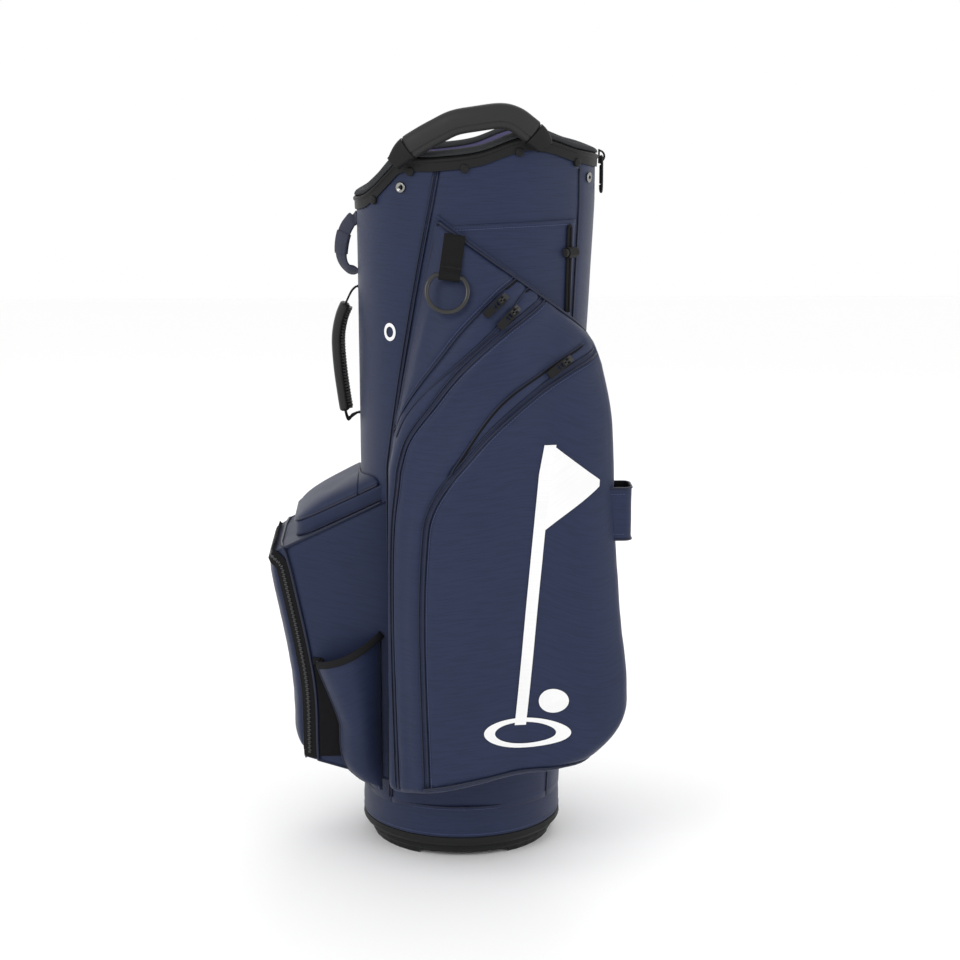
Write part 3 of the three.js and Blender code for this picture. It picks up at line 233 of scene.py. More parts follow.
# Weave: threads crossing at a pitch, faint ribs across the cloth, and slow cloudy variation.
weave_group, weave_in, weave_out = make_group(
    "weave",
    [("Place", "vector"), ("Thread", "value"), ("Rib", "value"), ("Rib strength", "value")],
    [("Height", "value"), ("Shade", "value"), ("Cloud", "value")],
)
weave_split = wire(weave_group, "ShaderNodeSeparateXYZ", {0: weave_in.outputs["Place"]})


def weave_wave(axis, pitch):
    """A sine across the cloth along an axis, with its pitch from one of the group's inputs."""
    turn = maths(weave_group, "DIVIDE", 2 * math.pi, weave_in.outputs[pitch])
    return maths(weave_group, "SINE", maths(weave_group, "MULTIPLY", weave_split.outputs[axis], turn))


def weave_noise(stretched, scale):
    place = scaled(weave_group, weave_in.outputs["Place"], stretched)
    return wire(weave_group, "ShaderNodeTexNoise", {"Vector": place, "Scale": scale}).outputs["Fac"]


crossing = maths(weave_group, "MULTIPLY", weave_wave("X", "Thread"), weave_wave("Y", "Thread"))
rib_line = maths(weave_group, "POWER", maths(weave_group, "ABSOLUTE", weave_wave("Y", "Rib")), 6.0)
streaks = spread(weave_group, weave_noise((0.012, 0.16, 0.05), 2.2), 0, 1, 0.42, 0.66)
ribs = maths(weave_group, "MULTIPLY", rib_line, streaks)
ribs = maths(weave_group, "MULTIPLY", ribs, weave_in.outputs["Rib strength"])
height = maths(weave_group, "ADD", maths(weave_group, "MULTIPLY", crossing, 0.5), 0.5)
height = maths(weave_group, "SUBTRACT", height, ribs)
weave_group.links.new(height, weave_out.inputs["Height"])
weave_group.links.new(ribs, weave_out.inputs["Shade"])
weave_group.links.new(weave_noise((0.006, 0.004, 0.006), 2.0), weave_out.inputs["Cloud"])


def cloth_material(name, colour, dark, thread, rib, rib_strength, bump=0.25, mapped=True, **shader_values):
    """Woven cloth. It is mapped by its own laid-out length, or by its place on the bag."""
    material, tree, shader = new_material(name, **shader_values)
    if mapped:
        place = wire(tree, "ShaderNodeUVMap", uv_map="cloth").outputs["UV"]
    else:
        place = wire(tree, "ShaderNodeTexCoord").outputs["Object"]
    place = scaled(tree, place, (1000, 1000, 1000))
    values = {"Place": place, "Thread": thread, "Rib": rib, "Rib strength": rib_strength}
    weave = wire(tree, "ShaderNodeGroup", values, node_tree=weave_group).outputs
    tone = tint(tree, weave["Cloud"], colour, [c * 1.22 for c in colour])
    tone = tint(tree, weave["Shade"], tone, dark)
    roughness = shader.inputs["Roughness"].default_value
    worn = spread(tree, weave["Cloud"], roughness - 0.06, roughness + 0.08)
    surface(tree, shader, weave["Height"], bump, 0.25, Base_Color=tone, Roughness=worn)
    return material


def bend(knots, values):
    """A smooth curve through the values at the knots, level beyond its ends."""

    def lean_at(i):
        if not 0 < i < len(knots) - 1:
            return 0
        return (values[i + 1] - values[i - 1]) / (knots[i + 1] - knots[i - 1])

    def at(t):
        if t <= knots[0]:
            return values[0]
        if t >= knots[-1]:
            return values[-1]
        i = next(k for k in range(1, len(knots)) if t < knots[k])
        t0, t1 = knots[i - 1], knots[i]
        before, after = lean_at(i - 1), lean_at(i)
        h = t1 - t0
        s = (t - t0) / h
        eased = 3 * s * s - 2 * s**3
        ends = (1 - eased) * values[i - 1] + eased * values[i]
        return ends + (s**3 - 2 * s * s + s) * h * before + (s**3 - s * s) * h * after

    return at


cuff_rise = bend(CUFF_ANGLES, CUFF_RISES)


def cuff_low(angle):
    """Height of the cuff's lower edge; its left side repeats the right."""
    angle = (angle + 90) % 360 - 90
    return SHOULDER + cuff_rise(180 - angle if angle > 90 else angle)


def front_seam(z):
    """Angle of the seam between the front and right panels: it moves forward as it drops."""
    return mix(-45.5, -18.7, clamp01((z - 500) / 361.5))


def dress(obj, material, *stands_for, body="bag", slot="navy_fabric"):
    """Gives a piece its finish, the body it rides on and the CAD nodes it stands for."""
    obj.data.materials.clear()
    obj.data.materials.append(material)
    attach(obj, body)
    if stands_for:
        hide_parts(*stands_for)
    return obj


def mesh_piece(name, points, faces, uvs=None, smooth=True):
    """A mesh object from points in millimetres; uvs are one pair in metres for each face corner."""
    mesh = bpy.data.meshes.new(name)
    mesh.from_pydata([tuple(p * MM) for p in points], [], faces)
    if uvs is not None:
        layer = mesh.uv_layers.new(name="cloth")
        layer.data.foreach_set("uv", np.asarray(uvs, np.float32).ravel())
    mesh.polygons.foreach_set("use_smooth", [smooth] * len(mesh.polygons))
    mesh.validate()
    obj = bpy.data.objects.new(name, mesh)
    scene.collection.objects.link(obj)
    return obj


def panel(name, across, up, place, thick=0.0, closed=False, over=False):
    """A sheet over place(u, v), u and v from 0 to 1, with its laid-out lengths kept for the weave.
    over turns it face about; thick is its wall, inward of the face."""
    columns = across if closed else across + 1
    grid = [[place(i / across, j / up) for i in range(across + 1)] for j in range(up + 1)]
    points = [grid[j][i] for j in range(up + 1) for i in range(columns)]
    spots = np.array(grid)
    along = np.zeros((up + 1, across + 1))
    rise = np.zeros((up + 1, across + 1))
    along[:, 1:] = np.cumsum(np.linalg.norm(np.diff(spots, axis=1), axis=2), axis=1)
    rise[1:] = np.cumsum(np.linalg.norm(np.diff(spots, axis=0), axis=2), axis=0)
    along -= along[:, -1:] / 2
    faces, uvs = [], []
    for j in range(up):
        for i in range(across):
            corners = [(i, j), (i + 1, j), (i + 1, j + 1), (i, j + 1)]
            corners = corners[::-1] if over else corners
            faces.append([b * columns + a % columns for a, b in corners])
            uvs += [(along[b, a] * MM, rise[b, a] * MM) for a, b in corners]
    obj = mesh_piece(name, points, faces, uvs)
    if thick:
        wall = obj.modifiers.new("wall", "SOLIDIFY")
        wall.thickness = thick * MM
        wall.offset = -1
    return obj


def round_section(radius, sides=8):
    turns = [2 * math.pi * k / sides for k in range(sides)]
    return [(radius * math.cos(t), radius * math.sin(t)) for t in turns]


def flat_section(half, thick, corner=0.35):
    t = thick / 2
    return [(half, -t + corner), (half, t - corner), (half - corner, t), (corner - half, t),
            (-half, t - corner), (-half, corner - t), (corner - half, -t), (half - corner, -t)]


def girths(section):
    """How far round a section each of its corners stands, and back at the first."""
    steps = [math.dist(a, b) for a, b in zip(section, [*section[1:], section[0]])]
    return [0.0, *np.cumsum(steps).tolist()]


def sweep(name, line, section, normals=None, closed=False, scale=None):
    """A section carried along a line. normals, one for each point, hold the section's upright."""
    count = len(line)
    rings, points = len(section), []
    normal = None
    run_length = [0.0]
    for k in range(1, count):
        run_length.append(run_length[-1] + (line[k] - line[k - 1]).length)
    for k, p in enumerate(line):
        ahead = line[(k + 1) % count] if closed or k + 1 < count else line[k]
        behind = line[k - 1] if closed or k else line[k]
        run = (ahead - behind).normalized()
        if normals is not None:
            normal = Vector(normals[k])
        elif normal is None:
            normal = Vector((0, 0, 1)) if abs(run.z) < 0.9 else Vector((1, 0, 0))
        normal = (normal - run * normal.dot(run)).normalized()
        side = run.cross(normal)
        grow = scale(k / (count - 1)) if scale else 1.0
        points += [p + side * (a * grow) + normal * (b * grow) for a, b in section]
    faces, uvs, girth = [], [], girths(section)
    for k in range(count if closed else count - 1):
        nxt = (k + 1) % count
        for s in range(rings):
            t = (s + 1) % rings
            faces.append([k * rings + s, k * rings + t, nxt * rings + t, nxt * rings + s])
            l0 = run_length[k] * MM
            l1 = (run_length[k] + (line[nxt] - line[k]).length) * MM
            g0, g1 = girth[s] * MM, girth[s + 1] * MM
            uvs += [(g0, l0), (g1, l0), (g1, l1), (g0, l1)]
    if not closed:
        faces += [list(range(rings))[::-1], [(count - 1) * rings + s for s in range(rings)]]
        uvs += [(a * MM, b * MM) for a, b in section] * 2
    return mesh_piece(name, points, faces, uvs)


def welded(name, pieces):
    """Several meshes made one piece."""
    for obj in bpy.context.selected_objects:
        obj.select_set(False)
    for obj in pieces:
        obj.select_set(True)
    bpy.context.view_layer.objects.active = pieces[0]
    bpy.ops.object.join()
    pieces[0].name = name
    return pieces[0]


def ripple(p, size, seed=0.0):
    """A slow, even unevenness of cloth over a stiff liner, about -1 to 1."""
    return noise.noise(Vector((p[0] / size + seed, p[1] / size, p[2] / size)))


def wall_panel(name, start, end, across):
    """A stretch of tube wall between two seams, drawn in a little at the seams."""

    def place(u, v):
        z = mix(BAND_TOP - 6, SHOULDER, v)
        for _ in range(3):
            angle = mix(start(z), end(z), u)
            z = mix(BAND_TOP - 6, cuff_low(angle) + 6, v)
        edge = min(u, 1 - u) * abs(end(z) - start(z)) * 2.2
        drawn = -0.9 * math.exp(-((edge / 5) ** 2))
        flat = tube_point(angle, z)
        folds = 0.8 * ripple((flat.x, flat.y, flat.z * 0.25), 34, 3) * clamp01((720 - z) / 300)
        return tube_point(angle, z, drawn + folds + 0.3 * ripple(flat, 60))

    return panel(name, across, 90, place, 1.6)


def left_front_seam(z):
    return -180 - front_seam(z)


def spine_seam(z):
    return 54


def left_spine_seam(z):
    return 126


navy = cloth_material(
    "navy coated weave", NAVY, NAVY_DARK, 1.3, 3.6, 0.8, 0.35, Roughness=0.48, Sheen_Weight=0.06,
    Specular_IOR_Level=0.2,
)
for side, start, end, columns in (
    ("front", left_front_seam, front_seam, 60),
    ("right", front_seam, spine_seam, 48),
    ("left", left_spine_seam, lambda z: 180 - front_seam(z), 48),
    ("spine", spine_seam, left_spine_seam, 40),
):
    dress(wall_panel(f"{side}_wall", start, end, columns), navy, f"tube_{side}_panel")


def piping_material(name, colour):
    """Cord covered in coated cloth: smooth and a little glossy, with a fine cross thread."""
    return cloth_material(name, colour, [c * 0.5 for c in colour], 0.9, 1.4, 0.2, 0.2, Roughness=0.36,
                          Specular_IOR_Level=0.3)


navy_piping = piping_material("navy piping", PIPING)


def seam_cord(name, line, radius=1.5, body="bag"):
    return dress(sweep(name, line, round_section(radius)), navy_piping, body=body)


def wall_seam(angle_at, offset=0.0):
    line = []
    for k in range(60):
        z = mix(BAND_TOP + 1, 862, k / 59)
        z = min(z, cuff_low(angle_at(z)) + 4)
        line.append(tube_point(angle_at(z) + offset, z, 0.1))
    return sweep("seam", line, round_section(1.3))


seams = [wall_seam(front_seam), wall_seam(front_seam, -1.9), wall_seam(left_front_seam)]
seams += [wall_seam(left_front_seam, 1.9), wall_seam(spine_seam), wall_seam(left_spine_seam)]
dress(welded("wall_seams", seams), navy_piping)


def stitches(name, line, normals, pitch=3.6, length=2.4, body="bag", tone=None):
    """A row of short thread runs lying on the cloth."""
    pieces, travelled, due = [], 0.0, 0.0
    for k in range(len(line) - 1):
        step = (line[k + 1] - line[k]).length
        while due < travelled + step and step > 1e-6:
            t = (due - travelled) / step
            at = line[k].lerp(line[k + 1], t)
            run = (line[k + 1] - line[k]).normalized()
            up = normals[k]
            side = run.cross(up).normalized() * 0.33
            a, b = at, at + run * length
            crown = (a + run * 0.4 + up * 0.4, b - run * 0.4 + up * 0.4)
            pieces.append([a - side, a + side, b + side, b - side, *crown])
            due += pitch
        travelled += step
    points, faces = [], []
    for six in pieces:
        n = len(points)
        points += six
        run_faces = ((0, 1, 4), (1, 2, 5, 4), (2, 3, 5), (3, 0, 4, 5))
        faces += [[n + k for k in corners] for corners in run_faces]
    obj = mesh_piece(name, points, faces, np.zeros((sum(len(f) for f in faces), 2)))
    return dress(obj, tone or thread_tone, body=body)


thread_tone = cloth_material(
    "navy thread", (0.045, 0.060, 0.14), (0.02, 0.03, 0.08), 0.5, 1.0, 0.2, 0.3, False, Roughness=0.6
)

# Flat open pocket sewn over the right wall, with a turned and stitched upper edge.
FLAT_POCKET_LOW, FLAT_POCKET_TOP = 650, 797


def flat_pocket_angle(u):
    return mix(-13, 50.5, u)


def flat_pocket(u, v):
    angle = flat_pocket_angle(u)
    top = FLAT_POCKET_TOP + 5 * u + 1.5 * math.sin(math.pi * u)
    z = mix(FLAT_POCKET_LOW, top, v)
    lip = 1.4 + 0.8 * math.exp(-((top - z) / 5) ** 2)
    return tube_point(angle, z, lip + 0.5 * ripple((angle, z, 0), 22, 7))


def tube_out(angle):
    return (tube_point(angle, 800, 1) - tube_point(angle, 800)).normalized()


dress(panel("flat_pocket", 50, 40, flat_pocket, 1.2), navy)
edge_line = [flat_pocket(k / 60, 1) - Vector((0, 0, 5)) + Vector((1.3, 0, 0)) for k in range(61)]
edge_out = [tube_out(flat_pocket_angle(k / 60)) for k in range(61)]
stitches("flat_pocket_stitches", edge_line, edge_out)

# Printed ring on the front wall, white ink.
ink = cloth_material("white ink", (0.72, 0.72, 0.72), (0.6, 0.6, 0.6), 1.3, 3.6, 0.3, 0.2, Roughness=0.5)


def front_mark(u, v):
    turn, r = 2 * math.pi * u, mix(6.6, 11, v)
    return tube_point(-44.3 + math.degrees(r * 0.8 * math.cos(turn) / 135), 667 + r * math.sin(turn), 0.75)


dress(panel("front_mark", 40, 2, front_mark, closed=True), ink)

# ------------------------------------------------------------------ foot
# A moulded black cup with notched rim, a moulded trim ring round it, and above that a navy band
# sewn over the tube's lower end.


def grained(name, colour, roughness, scale=700, bump=0.1, metallic=0.0, **shader_values):
    """Moulded rubber or metal: fine grain, and slow smudges in tone and gloss."""
    material, tree, shader = new_material(name, Metallic=metallic, **shader_values)
    place = wire(tree, "ShaderNodeTexCoord").outputs["Object"]
    grain = wire(tree, "ShaderNodeTexNoise", {"Vector": place, "Scale": scale, "Detail": 3.0})
    smudge = wire(tree, "ShaderNodeTexNoise", {"Vector": place, "Scale": 28.0, "Detail": 4.0})
    smudge = smudge.outputs["Fac"]
    gloss = spread(tree, smudge, roughness - 0.07, roughness + 0.09, 0.3, 0.7)
    tone = tint(tree, smudge, colour, [c * 1.35 for c in colour])
    surface(tree, shader, grain.outputs["Fac"], bump, 0.3, Base_Color=tone, Roughness=gloss)
    return material


moulded = grained("black moulding", (0.009, 0.009, 0.0095), 0.5, 900, 0.16, Specular_IOR_Level=0.16)


def finish_node(name, material, width=0.4):
    """A CAD piece shown as it is, with its finish and softly broken edges."""
    obj = nodes[name]
    obj.data.materials.clear()
    obj.data.materials.append(material)
    soften(obj, width)


def soften(obj, width, segments=2):
    edge = obj.modifiers.new("soft edges", "BEVEL")
    edge.width = width * MM
    edge.segments = segments
    edge.limit_method = "ANGLE"
    edge.angle_limit = math.radians(28)
    edge.harden_normals = True
    return obj


def ring(name, profile, at, steps=144, hoop=True):
    """A profile of (out, up) carried round by at(angle, out, up); hoop closes the profile."""
    rows, points = len(profile), []
    girth, length = girths(profile), [0.0]
    rounds = [[at(-90 + 360 * s / steps, *p) for p in profile] for s in range(steps)]
    for s in range(steps):
        points += rounds[s]
        length.append(length[-1] + (rounds[(s + 1) % steps][0] - rounds[s][0]).length)
    faces, uvs = [], []
    for s in range(steps):
        for k in range(rows if hoop else rows - 1):
            a, b = (s + 1) % steps * rows, (k + 1) % rows
            faces.append([s * rows + k, a + k, a + b, s * rows + b])
            for length_at, girth_at in ((s, k), (s + 1, k), (s + 1, k + 1), (s, k + 1)):
                uvs.append((length[length_at] * MM, girth[girth_at] * MM))
    return mesh_piece(name, points, faces, uvs)


def round_foot(angle, out, up):
    turn = math.radians(angle)
    return Vector((out * math.cos(turn), out * math.sin(turn), up))


finish_node("base_tray", moulded, 0.6)
trim = ring("foot_trim", [(120.4, 17), (126, 18), (128.5, 22), (128, 29), (120.4, 29)], round_foot)
dress(soften(trim, 0.8, 3), moulded, "base_trim", slot="black_moulding")


def band_round(angle, out, up):
    place = (math.cos(angle / 57.3) * 3, math.sin(angle / 57.3) * 3, up / 30)
    return round_foot(angle, out + 0.35 * ripple(place, 1), up)


band_profile = [(120.5, 29.6), (127.2, 29.6), (127.9, 32), (127.7, 38), (127.9, 48), (127.2, 58)]
band_profile += [(126.2, 65), (125.9, 69.4), (125, 70.6), (121.5, 70.6)]
dress(ring("foot_band", band_profile, band_round, 180, hoop=False), navy, "base_band")
for height, radius in ((33.5, 127.95), (65.8, 126.4)):
    hem = [round_foot(a, radius, height) for a in range(0, 362, 2)]
    stitches("foot_band_stitches", hem, [round_foot(a, 1, 0) for a in range(0, 362, 2)])
seam_cord("foot_band_cord", [round_foot(a, 126.2, 69.2) for a in range(0, 364, 4)], 1.0)

# ------------------------------------------------------------------ cuff
# Moulded black rubber collar clamped over the tube's rim with blind rivets, and a soft padded lip
# of spacer mesh on top of it. Chromed press studs for the rain hood sit just below.


def around_cuff(angle, out, up):
    return tube_point(angle, cuff_low(angle) + up, out)


cuff_profile = [(0.7, 0), (2.3, 0), (2.6, 10), (4.2, 11.5), (4.2, 14), (1.5, 16.2), (-6, 16.2)]
cuff_profile += [(-14, 13.2), (-16.5, 6), (-16.5, -2), (-13.5, -2), (-13, 8), (-8, 12), (0.7, 12.5)]
cuff = ring("cuff_ring", cuff_profile, around_cuff, 200)
dress(soften(cuff, 0.7, 3), moulded, "cuff_collar", slot="black_moulding")

mesh_group, mesh_in, mesh_out = make_group("spacer mesh", [("Place", "vector")], [("Hole", "value")])
mesh_split = wire(mesh_group, "ShaderNodeSeparateXYZ", {0: mesh_in.outputs["Place"]})
mesh_rows = []
for axis, pitch in (("X", 2.6), ("Y", 2.0)):
    turn = maths(mesh_group, "MULTIPLY", mesh_split.outputs[axis], 2 * math.pi / pitch)
    mesh_rows.append(maths(mesh_group, "SINE", turn))
mesh_hole = spread(mesh_group, maths(mesh_group, "MULTIPLY", *mesh_rows), 0, 1, 0.12, 0.5)
mesh_group.links.new(mesh_hole, mesh_out.inputs["Hole"])


def mesh_cloth(name, colour, roughness):
    """Spacer mesh: a knitted face with rows of small holes, painted dark inside as painted shade."""
    material, tree, shader = new_material(name, Roughness=roughness, Specular_IOR_Level=0.12)
    place = wire(tree, "ShaderNodeUVMap", uv_map="cloth").outputs["UV"]
    place = scaled(tree, place, (1000, 1000, 1000))
    hole = wire(tree, "ShaderNodeGroup", {"Place": place}, node_tree=mesh_group).outputs["Hole"]
    # painted shade: the holes' colour drops to a fifth of the mesh colour, standing in for the shade in
    # their depth
    tone = tint(tree, hole, colour, [c * 0.2 for c in colour])
    surface(tree, shader, maths(tree, "SUBTRACT", 1.0, hole), 0.6, 0.6, Base_Color=tone)
    return material


black_mesh = mesh_cloth("black spacer mesh", (0.040, 0.042, 0.045), 0.85)
pad_profile = [
    (-6.0 + 8.8 * math.cos(a), 18 + (6.5 if math.sin(a) > 0 else 1.6) * math.sin(a))
    for a in (2 * math.pi * k / 20 for k in range(20))
]


def padded_lip(angle, out, up):
    swell = 0.35 * ripple((angle / 16, 0, 0), 1, 4)
    return around_cuff(angle, out, up + (swell if up > 18 else 0))


cuff_pad = ring("cuff_lip", pad_profile, padded_lip, 240)
dress(cuff_pad, black_mesh, "cuff_pad", slot="soft_grip")


def turned(name, profile, place, steps=28):
    """A small round piece on place's z axis, from (radius, height) pairs."""
    points = [Vector((0, 0, profile[0][1]))]
    for radius, high in profile[1:-1]:
        points += [Vector((x, y, high)) for x, y in round_section(radius, steps)]
    points.append(Vector((0, 0, profile[-1][1])))
    rows, faces = len(profile) - 2, []
    for s in range(steps):
        t = (s + 1) % steps
        faces.append([0, 1 + t, 1 + s])
        for r in range(rows - 1):
            low, high = 1 + r * steps, 1 + (r + 1) * steps
            faces.append([low + s, low + t, high + t, high + s])
        top = 1 + (rows - 1) * steps
        faces.append([top + s, top + t, len(points) - 1])
    return mesh_piece(name, [place @ p for p in points], faces)


rivet_profile = [(0, -2.2), (5.1, -2.2), (5.4, 0.8), (4.9, 1.7), (3.4, 2.3), (2.4, 2.0)]
rivet_profile += [(1.6, 2.5), (0, 2.5)]
for number, angle in enumerate([-54.5, -32, -6.5, 18.4, 50.7]):
    for side, at in (("right", angle), ("left", 180 - angle)):
        place = tube_frame(at, cuff_low(angle) + 0.2, 2.4)
        rivet = turned(f"rivet_{side}_{number + 1}", rivet_profile, place)
        dress(soften(rivet, 0.2), moulded, slot="black_moulding")
        if side == "right":
            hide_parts(f"cuff_rivet_{number + 1}")

chrome = grained("chromed stud", (0.24, 0.24, 0.23), 0.22, 500, 0.04, 1.0)
stud_profile = [(0, 0), (6.3, 0), (6.5, 1.2), (5.7, 2.2), (4.6, 2.4), (3.4, 1.4), (2.2, 0.9), (0, 0.9)]
post_profile = [(0, 0.8), (1.9, 0.8), (2.0, 2.1), (1.3, 2.9), (0, 3.0)]
for end, angle, rise in (("front", -37.3, 22), ("back", 63.3, 31)):
    for side, at in (("right", angle), ("left", 180 - angle)):
        place = tube_frame(at, SHOULDER + rise, 0.6)
        stud = turned(f"stud_{end}_{side}", stud_profile, place)
        post = turned(f"stud_post_{end}_{side}", post_profile, place)
        dress(stud, chrome, f"hood_snap_{end}_{side}", slot="bright_metal")
        dress(post, moulded, slot="bright_metal")

# ------------------------------------------------------------------ divider, lining and stays
# Crossed sheets of lined board make fourteen club slots. Their top edges carry padded brushed
# cloth caps. Two flat aluminium stays stiffen the tube inside.
lining = cloth_material(
    "plum lining", (0.044, 0.040, 0.105), (0.02, 0.02, 0.05), 0.8, 2.4, 0.25, 0.2, False, Roughness=0.8,
    Sheen_Weight=0.3,
)


def copy_of(source, name, side=1):
    """The same shape as a new piece; side -1 puts it on the bag's left."""
    mesh = source.data.copy()
    mesh.transform(Matrix.Scale(side, 4, (1, 0, 0)) @ source.matrix_world)
    if side < 0:
        mesh.flip_normals()
    twin = bpy.data.objects.new(name, mesh)
    scene.collection.objects.link(twin)
    return twin


for name in [n for n in nodes if n.startswith("divider_") and n != "divider_caps"]:
    sheet = soften(copy_of(nodes[name], f"{name}_lined"), 0.5)
    dress(sheet, lining, name, slot="lining_fabric")

# The lining is turned over inside the cuff.
turned_over = [(-17.6, -26), (-17.4, 0), (-17.2, 13), (-13, 17)]
cuff_lining = ring("cuff_lining", turned_over, around_cuff, 160, hoop=False)
dress(cuff_lining, lining, slot="lining_fabric")

brushed = cloth_material(
    "plum brushed cloth", (0.026, 0.024, 0.062), (0.012, 0.012, 0.03), 0.9, 2.0, 0.3, 0.35,
    Roughness=0.9, Sheen_Weight=0.4,
)


def oval_half(y, z, out):
    """Half the tube's width at y and z."""
    half_x, half_y, centre = tube_halves(z, out)
    return half_x * (1 - min(1, abs((y - centre) / half_y)) ** ROUNDNESS) ** (1 / ROUNDNESS)


def cap_side(turn):
    return 4 * math.copysign(abs(turn) ** 0.6, turn)


cap_turns = [2 * math.pi * (k + 0.5) / 16 for k in range(16)]
cap_section = [(cap_side(math.cos(a)), cap_side(math.sin(a))) for a in cap_turns]
caps = []
for y in (-66, -15, 36, 87):
    reach = oval_half(y, 840, -17.5)
    line = [Vector((mix(-reach, reach, k / 20), y, 844.4)) for k in range(21)]
    caps.append(sweep("cap", line, cap_section))
for x in (-38, 38):
    line = [Vector((x, mix(-66, 141, k / 20), 844)) for k in range(21)]
    caps.append(sweep("cap", line, cap_section))
front_cap = [Vector((0, mix(-110, -68, k / 8), mix(797, 842, k / 8))) for k in range(9)]
caps.append(sweep("cap", front_cap, cap_section))
cap_frame = welded("divider_cap_frame", caps)
dress(cap_frame, brushed, "divider_caps", slot="soft_grip")

aluminium = grained("aluminium stay", (0.42, 0.43, 0.44), 0.38, 300, 0.1, 1.0)
for name in ("stay_right", "stay_left"):
    finish_node(name, aluminium, 0.3)

# ------------------------------------------------------------------ carry handle
# A bridge over the right side of the cuff: a moulded black core with flared ends, and a soft
# over-moulded grip with a parting groove along it.


def stretch(line, start, end, count):
    """Points spaced evenly by length between two shares of a line."""
    lengths = [0.0]
    for a, b in zip(line, line[1:]):
        lengths.append(lengths[-1] + (b - a).length)
    out, i = [], 0
    for k in range(count):
        target = mix(start, end, k / (count - 1)) * lengths[-1]
        while i < len(line) - 2 and lengths[i + 1] < target:
            i += 1
        t = (target - lengths[i]) / max(1e-9, lengths[i + 1] - lengths[i])
        out.append(line[i].lerp(line[i + 1], t))
    return out


HANDLE_FRONT, HANDLE_BACK, HANDLE_PEAK, HANDLE_TOP = -64, 88, 44, 927
handle_drop = [
    (HANDLE_FRONT - 18, 56), (HANDLE_FRONT - 3, 40), (HANDLE_FRONT + 15, 28), (HANDLE_FRONT + 34, 17.5),
    ((HANDLE_FRONT + HANDLE_PEAK) / 2, 8), (HANDLE_PEAK - 30, 3.5), (HANDLE_PEAK, 0),
    (HANDLE_PEAK + 17, 4), (HANDLE_BACK - 14, 13), (HANDLE_BACK, 25), (HANDLE_BACK + 9, 37),
]
handle_knots = [
    (oval_half(y, SHOULDER, 16.9) - 7 * math.sin(i / 10 * math.pi), y, HANDLE_TOP - drop)
    for i, (y, drop) in enumerate(handle_drop)
]
handle_route = smooth_line(handle_knots, 12)


def oval_section(half_wide, half_high, power=2.4, groove=0.0, steps=36):
    """A squarish oval, with a groove of that depth at one lower corner."""
    out = []
    for k in range(steps):
        turn = 2 * math.pi * k / steps
        c, s = math.cos(turn), math.sin(turn)
        r = (abs(c) ** power + abs(s) ** power) ** (-1 / power)
        from_groove = (turn if turn < math.pi else turn - 2 * math.pi) + 0.62
        dip = 1 - groove * math.exp(-((from_groove / 0.11) ** 2))
        out.append((half_wide * r * c * dip, half_high * r * s * dip))
    return out


def eased_ends(share, low):
    """Full size along the middle, rounding down to low over the first and last share."""
    return lambda t: low + (1 - low) * math.sqrt(1 - (1 - clamp01(min(t, 1 - t) / share)) ** 2)


soft_rubber = grained("soft black rubber", (0.015, 0.015, 0.0155), 0.5, 1400, 0.22, Specular_IOR_Level=0.26)
grip = sweep(
    "handle_grip", stretch(handle_route, 0.126, 0.896, 70), oval_section(10.5, 15, 2.4, 0.14, 80),
    scale=eased_ends(0.02, 0.86),
)
dress(grip, soft_rubber, "top_handle_grip", slot="soft_grip")
core = [sweep("core", stretch(handle_route, 0, 1, 40), oval_section(6, 10))]
flares = [(0, 0.125, lambda t: 0.62 + 0.40 * math.sin(t * 1.4)), (0.9, 1, lambda t: 1.02 - 0.3 * t * t)]
for start, end, size in flares:
    flare = stretch(handle_route, start, end, 18)
    core.append(sweep("core", flare, oval_section(10.4, 14.4, 2.8), scale=size))
dress(welded("handle_core", core), moulded, "top_handle", slot="black_moulding")

# ------------------------------------------------------------------ apparel pockets
# A long padded pocket on each side, sewn on round its edge with corded seams. Two hidden zips
# cross its upper corner and a third follows the inner panel.


def pocket_front_edge(z):
    return mix(-44, -18.7, clamp01((z - 505) / 305))


POCKET_BACK_ANGLE = 60


def pocket_angle(u, z):
    return mix(pocket_front_edge(z), POCKET_BACK_ANGLE, u)


def pocket_top(u):
    return mix(810, 660, u) + 5 * math.sin(math.pi * u)


pocket_bottom = bend([0, 0.15, 0.28, 0.36, 0.48, 0.56, 0.66, 0.82, 0.93, 1],
                     [95, 98, 103, 108, 118, 125, 130, 134, 164, 205])
pocket_across = bend([0, 0.1, 0.26, 0.45, 0.65, 0.88, 0.96, 1], [0, 34, 50, 57, 62, 100, 70, 0])
back_bulge = bend([100, 238, 341, 467, 600, 700], [112, 112, 94, 78, 74, 74])


def pocket_depth(u, z):
    full = pocket_across(u) * mix(1, back_bulge(z) / 100, clamp01((u - 0.45) / 0.43))
    below = clamp01((pocket_top(u) - z) / mix(320, 200, u))
    above = clamp01((z + 8 - pocket_bottom(u)) / mix(20, 70, clamp01((u - 0.7) / 0.2)))
    return full * (1 - (1 - below) ** 2) ** mix(0.95, 0.5, u) * math.sqrt(1 - (1 - above) ** 2)


def pocket_point(u, z, out=0.0):
    return tube_point(pocket_angle(u, z), z, 4.3 + pocket_depth(clamp01(u), z) + out)


def on_pocket(u, z, out, lean=0.0):
    """Place on the pocket: x across, y up its surface and turned by lean, z out of it."""
    across = (pocket_point(u + 0.01, z) - pocket_point(u - 0.01, z)).normalized()
    up = (pocket_point(u, z + 4) - pocket_point(u, z - 4)).normalized()
    normal = across.cross(up).normalized()
    up = (Matrix.Rotation(math.radians(lean), 3, normal) @ up).normalized()
    up = (up - normal * up.dot(normal)).normalized()
    turn = Matrix((up.cross(normal), up, normal)).transposed().to_4x4()
    return Matrix.Translation(pocket_point(u, z, out)) @ turn


def seam_route(knots, steps=10):
    """A smooth seam through (share across, height) pairs."""
    return [(p.x, p.y) for p in smooth_line([(u, z, 0) for u, z in knots], steps)]


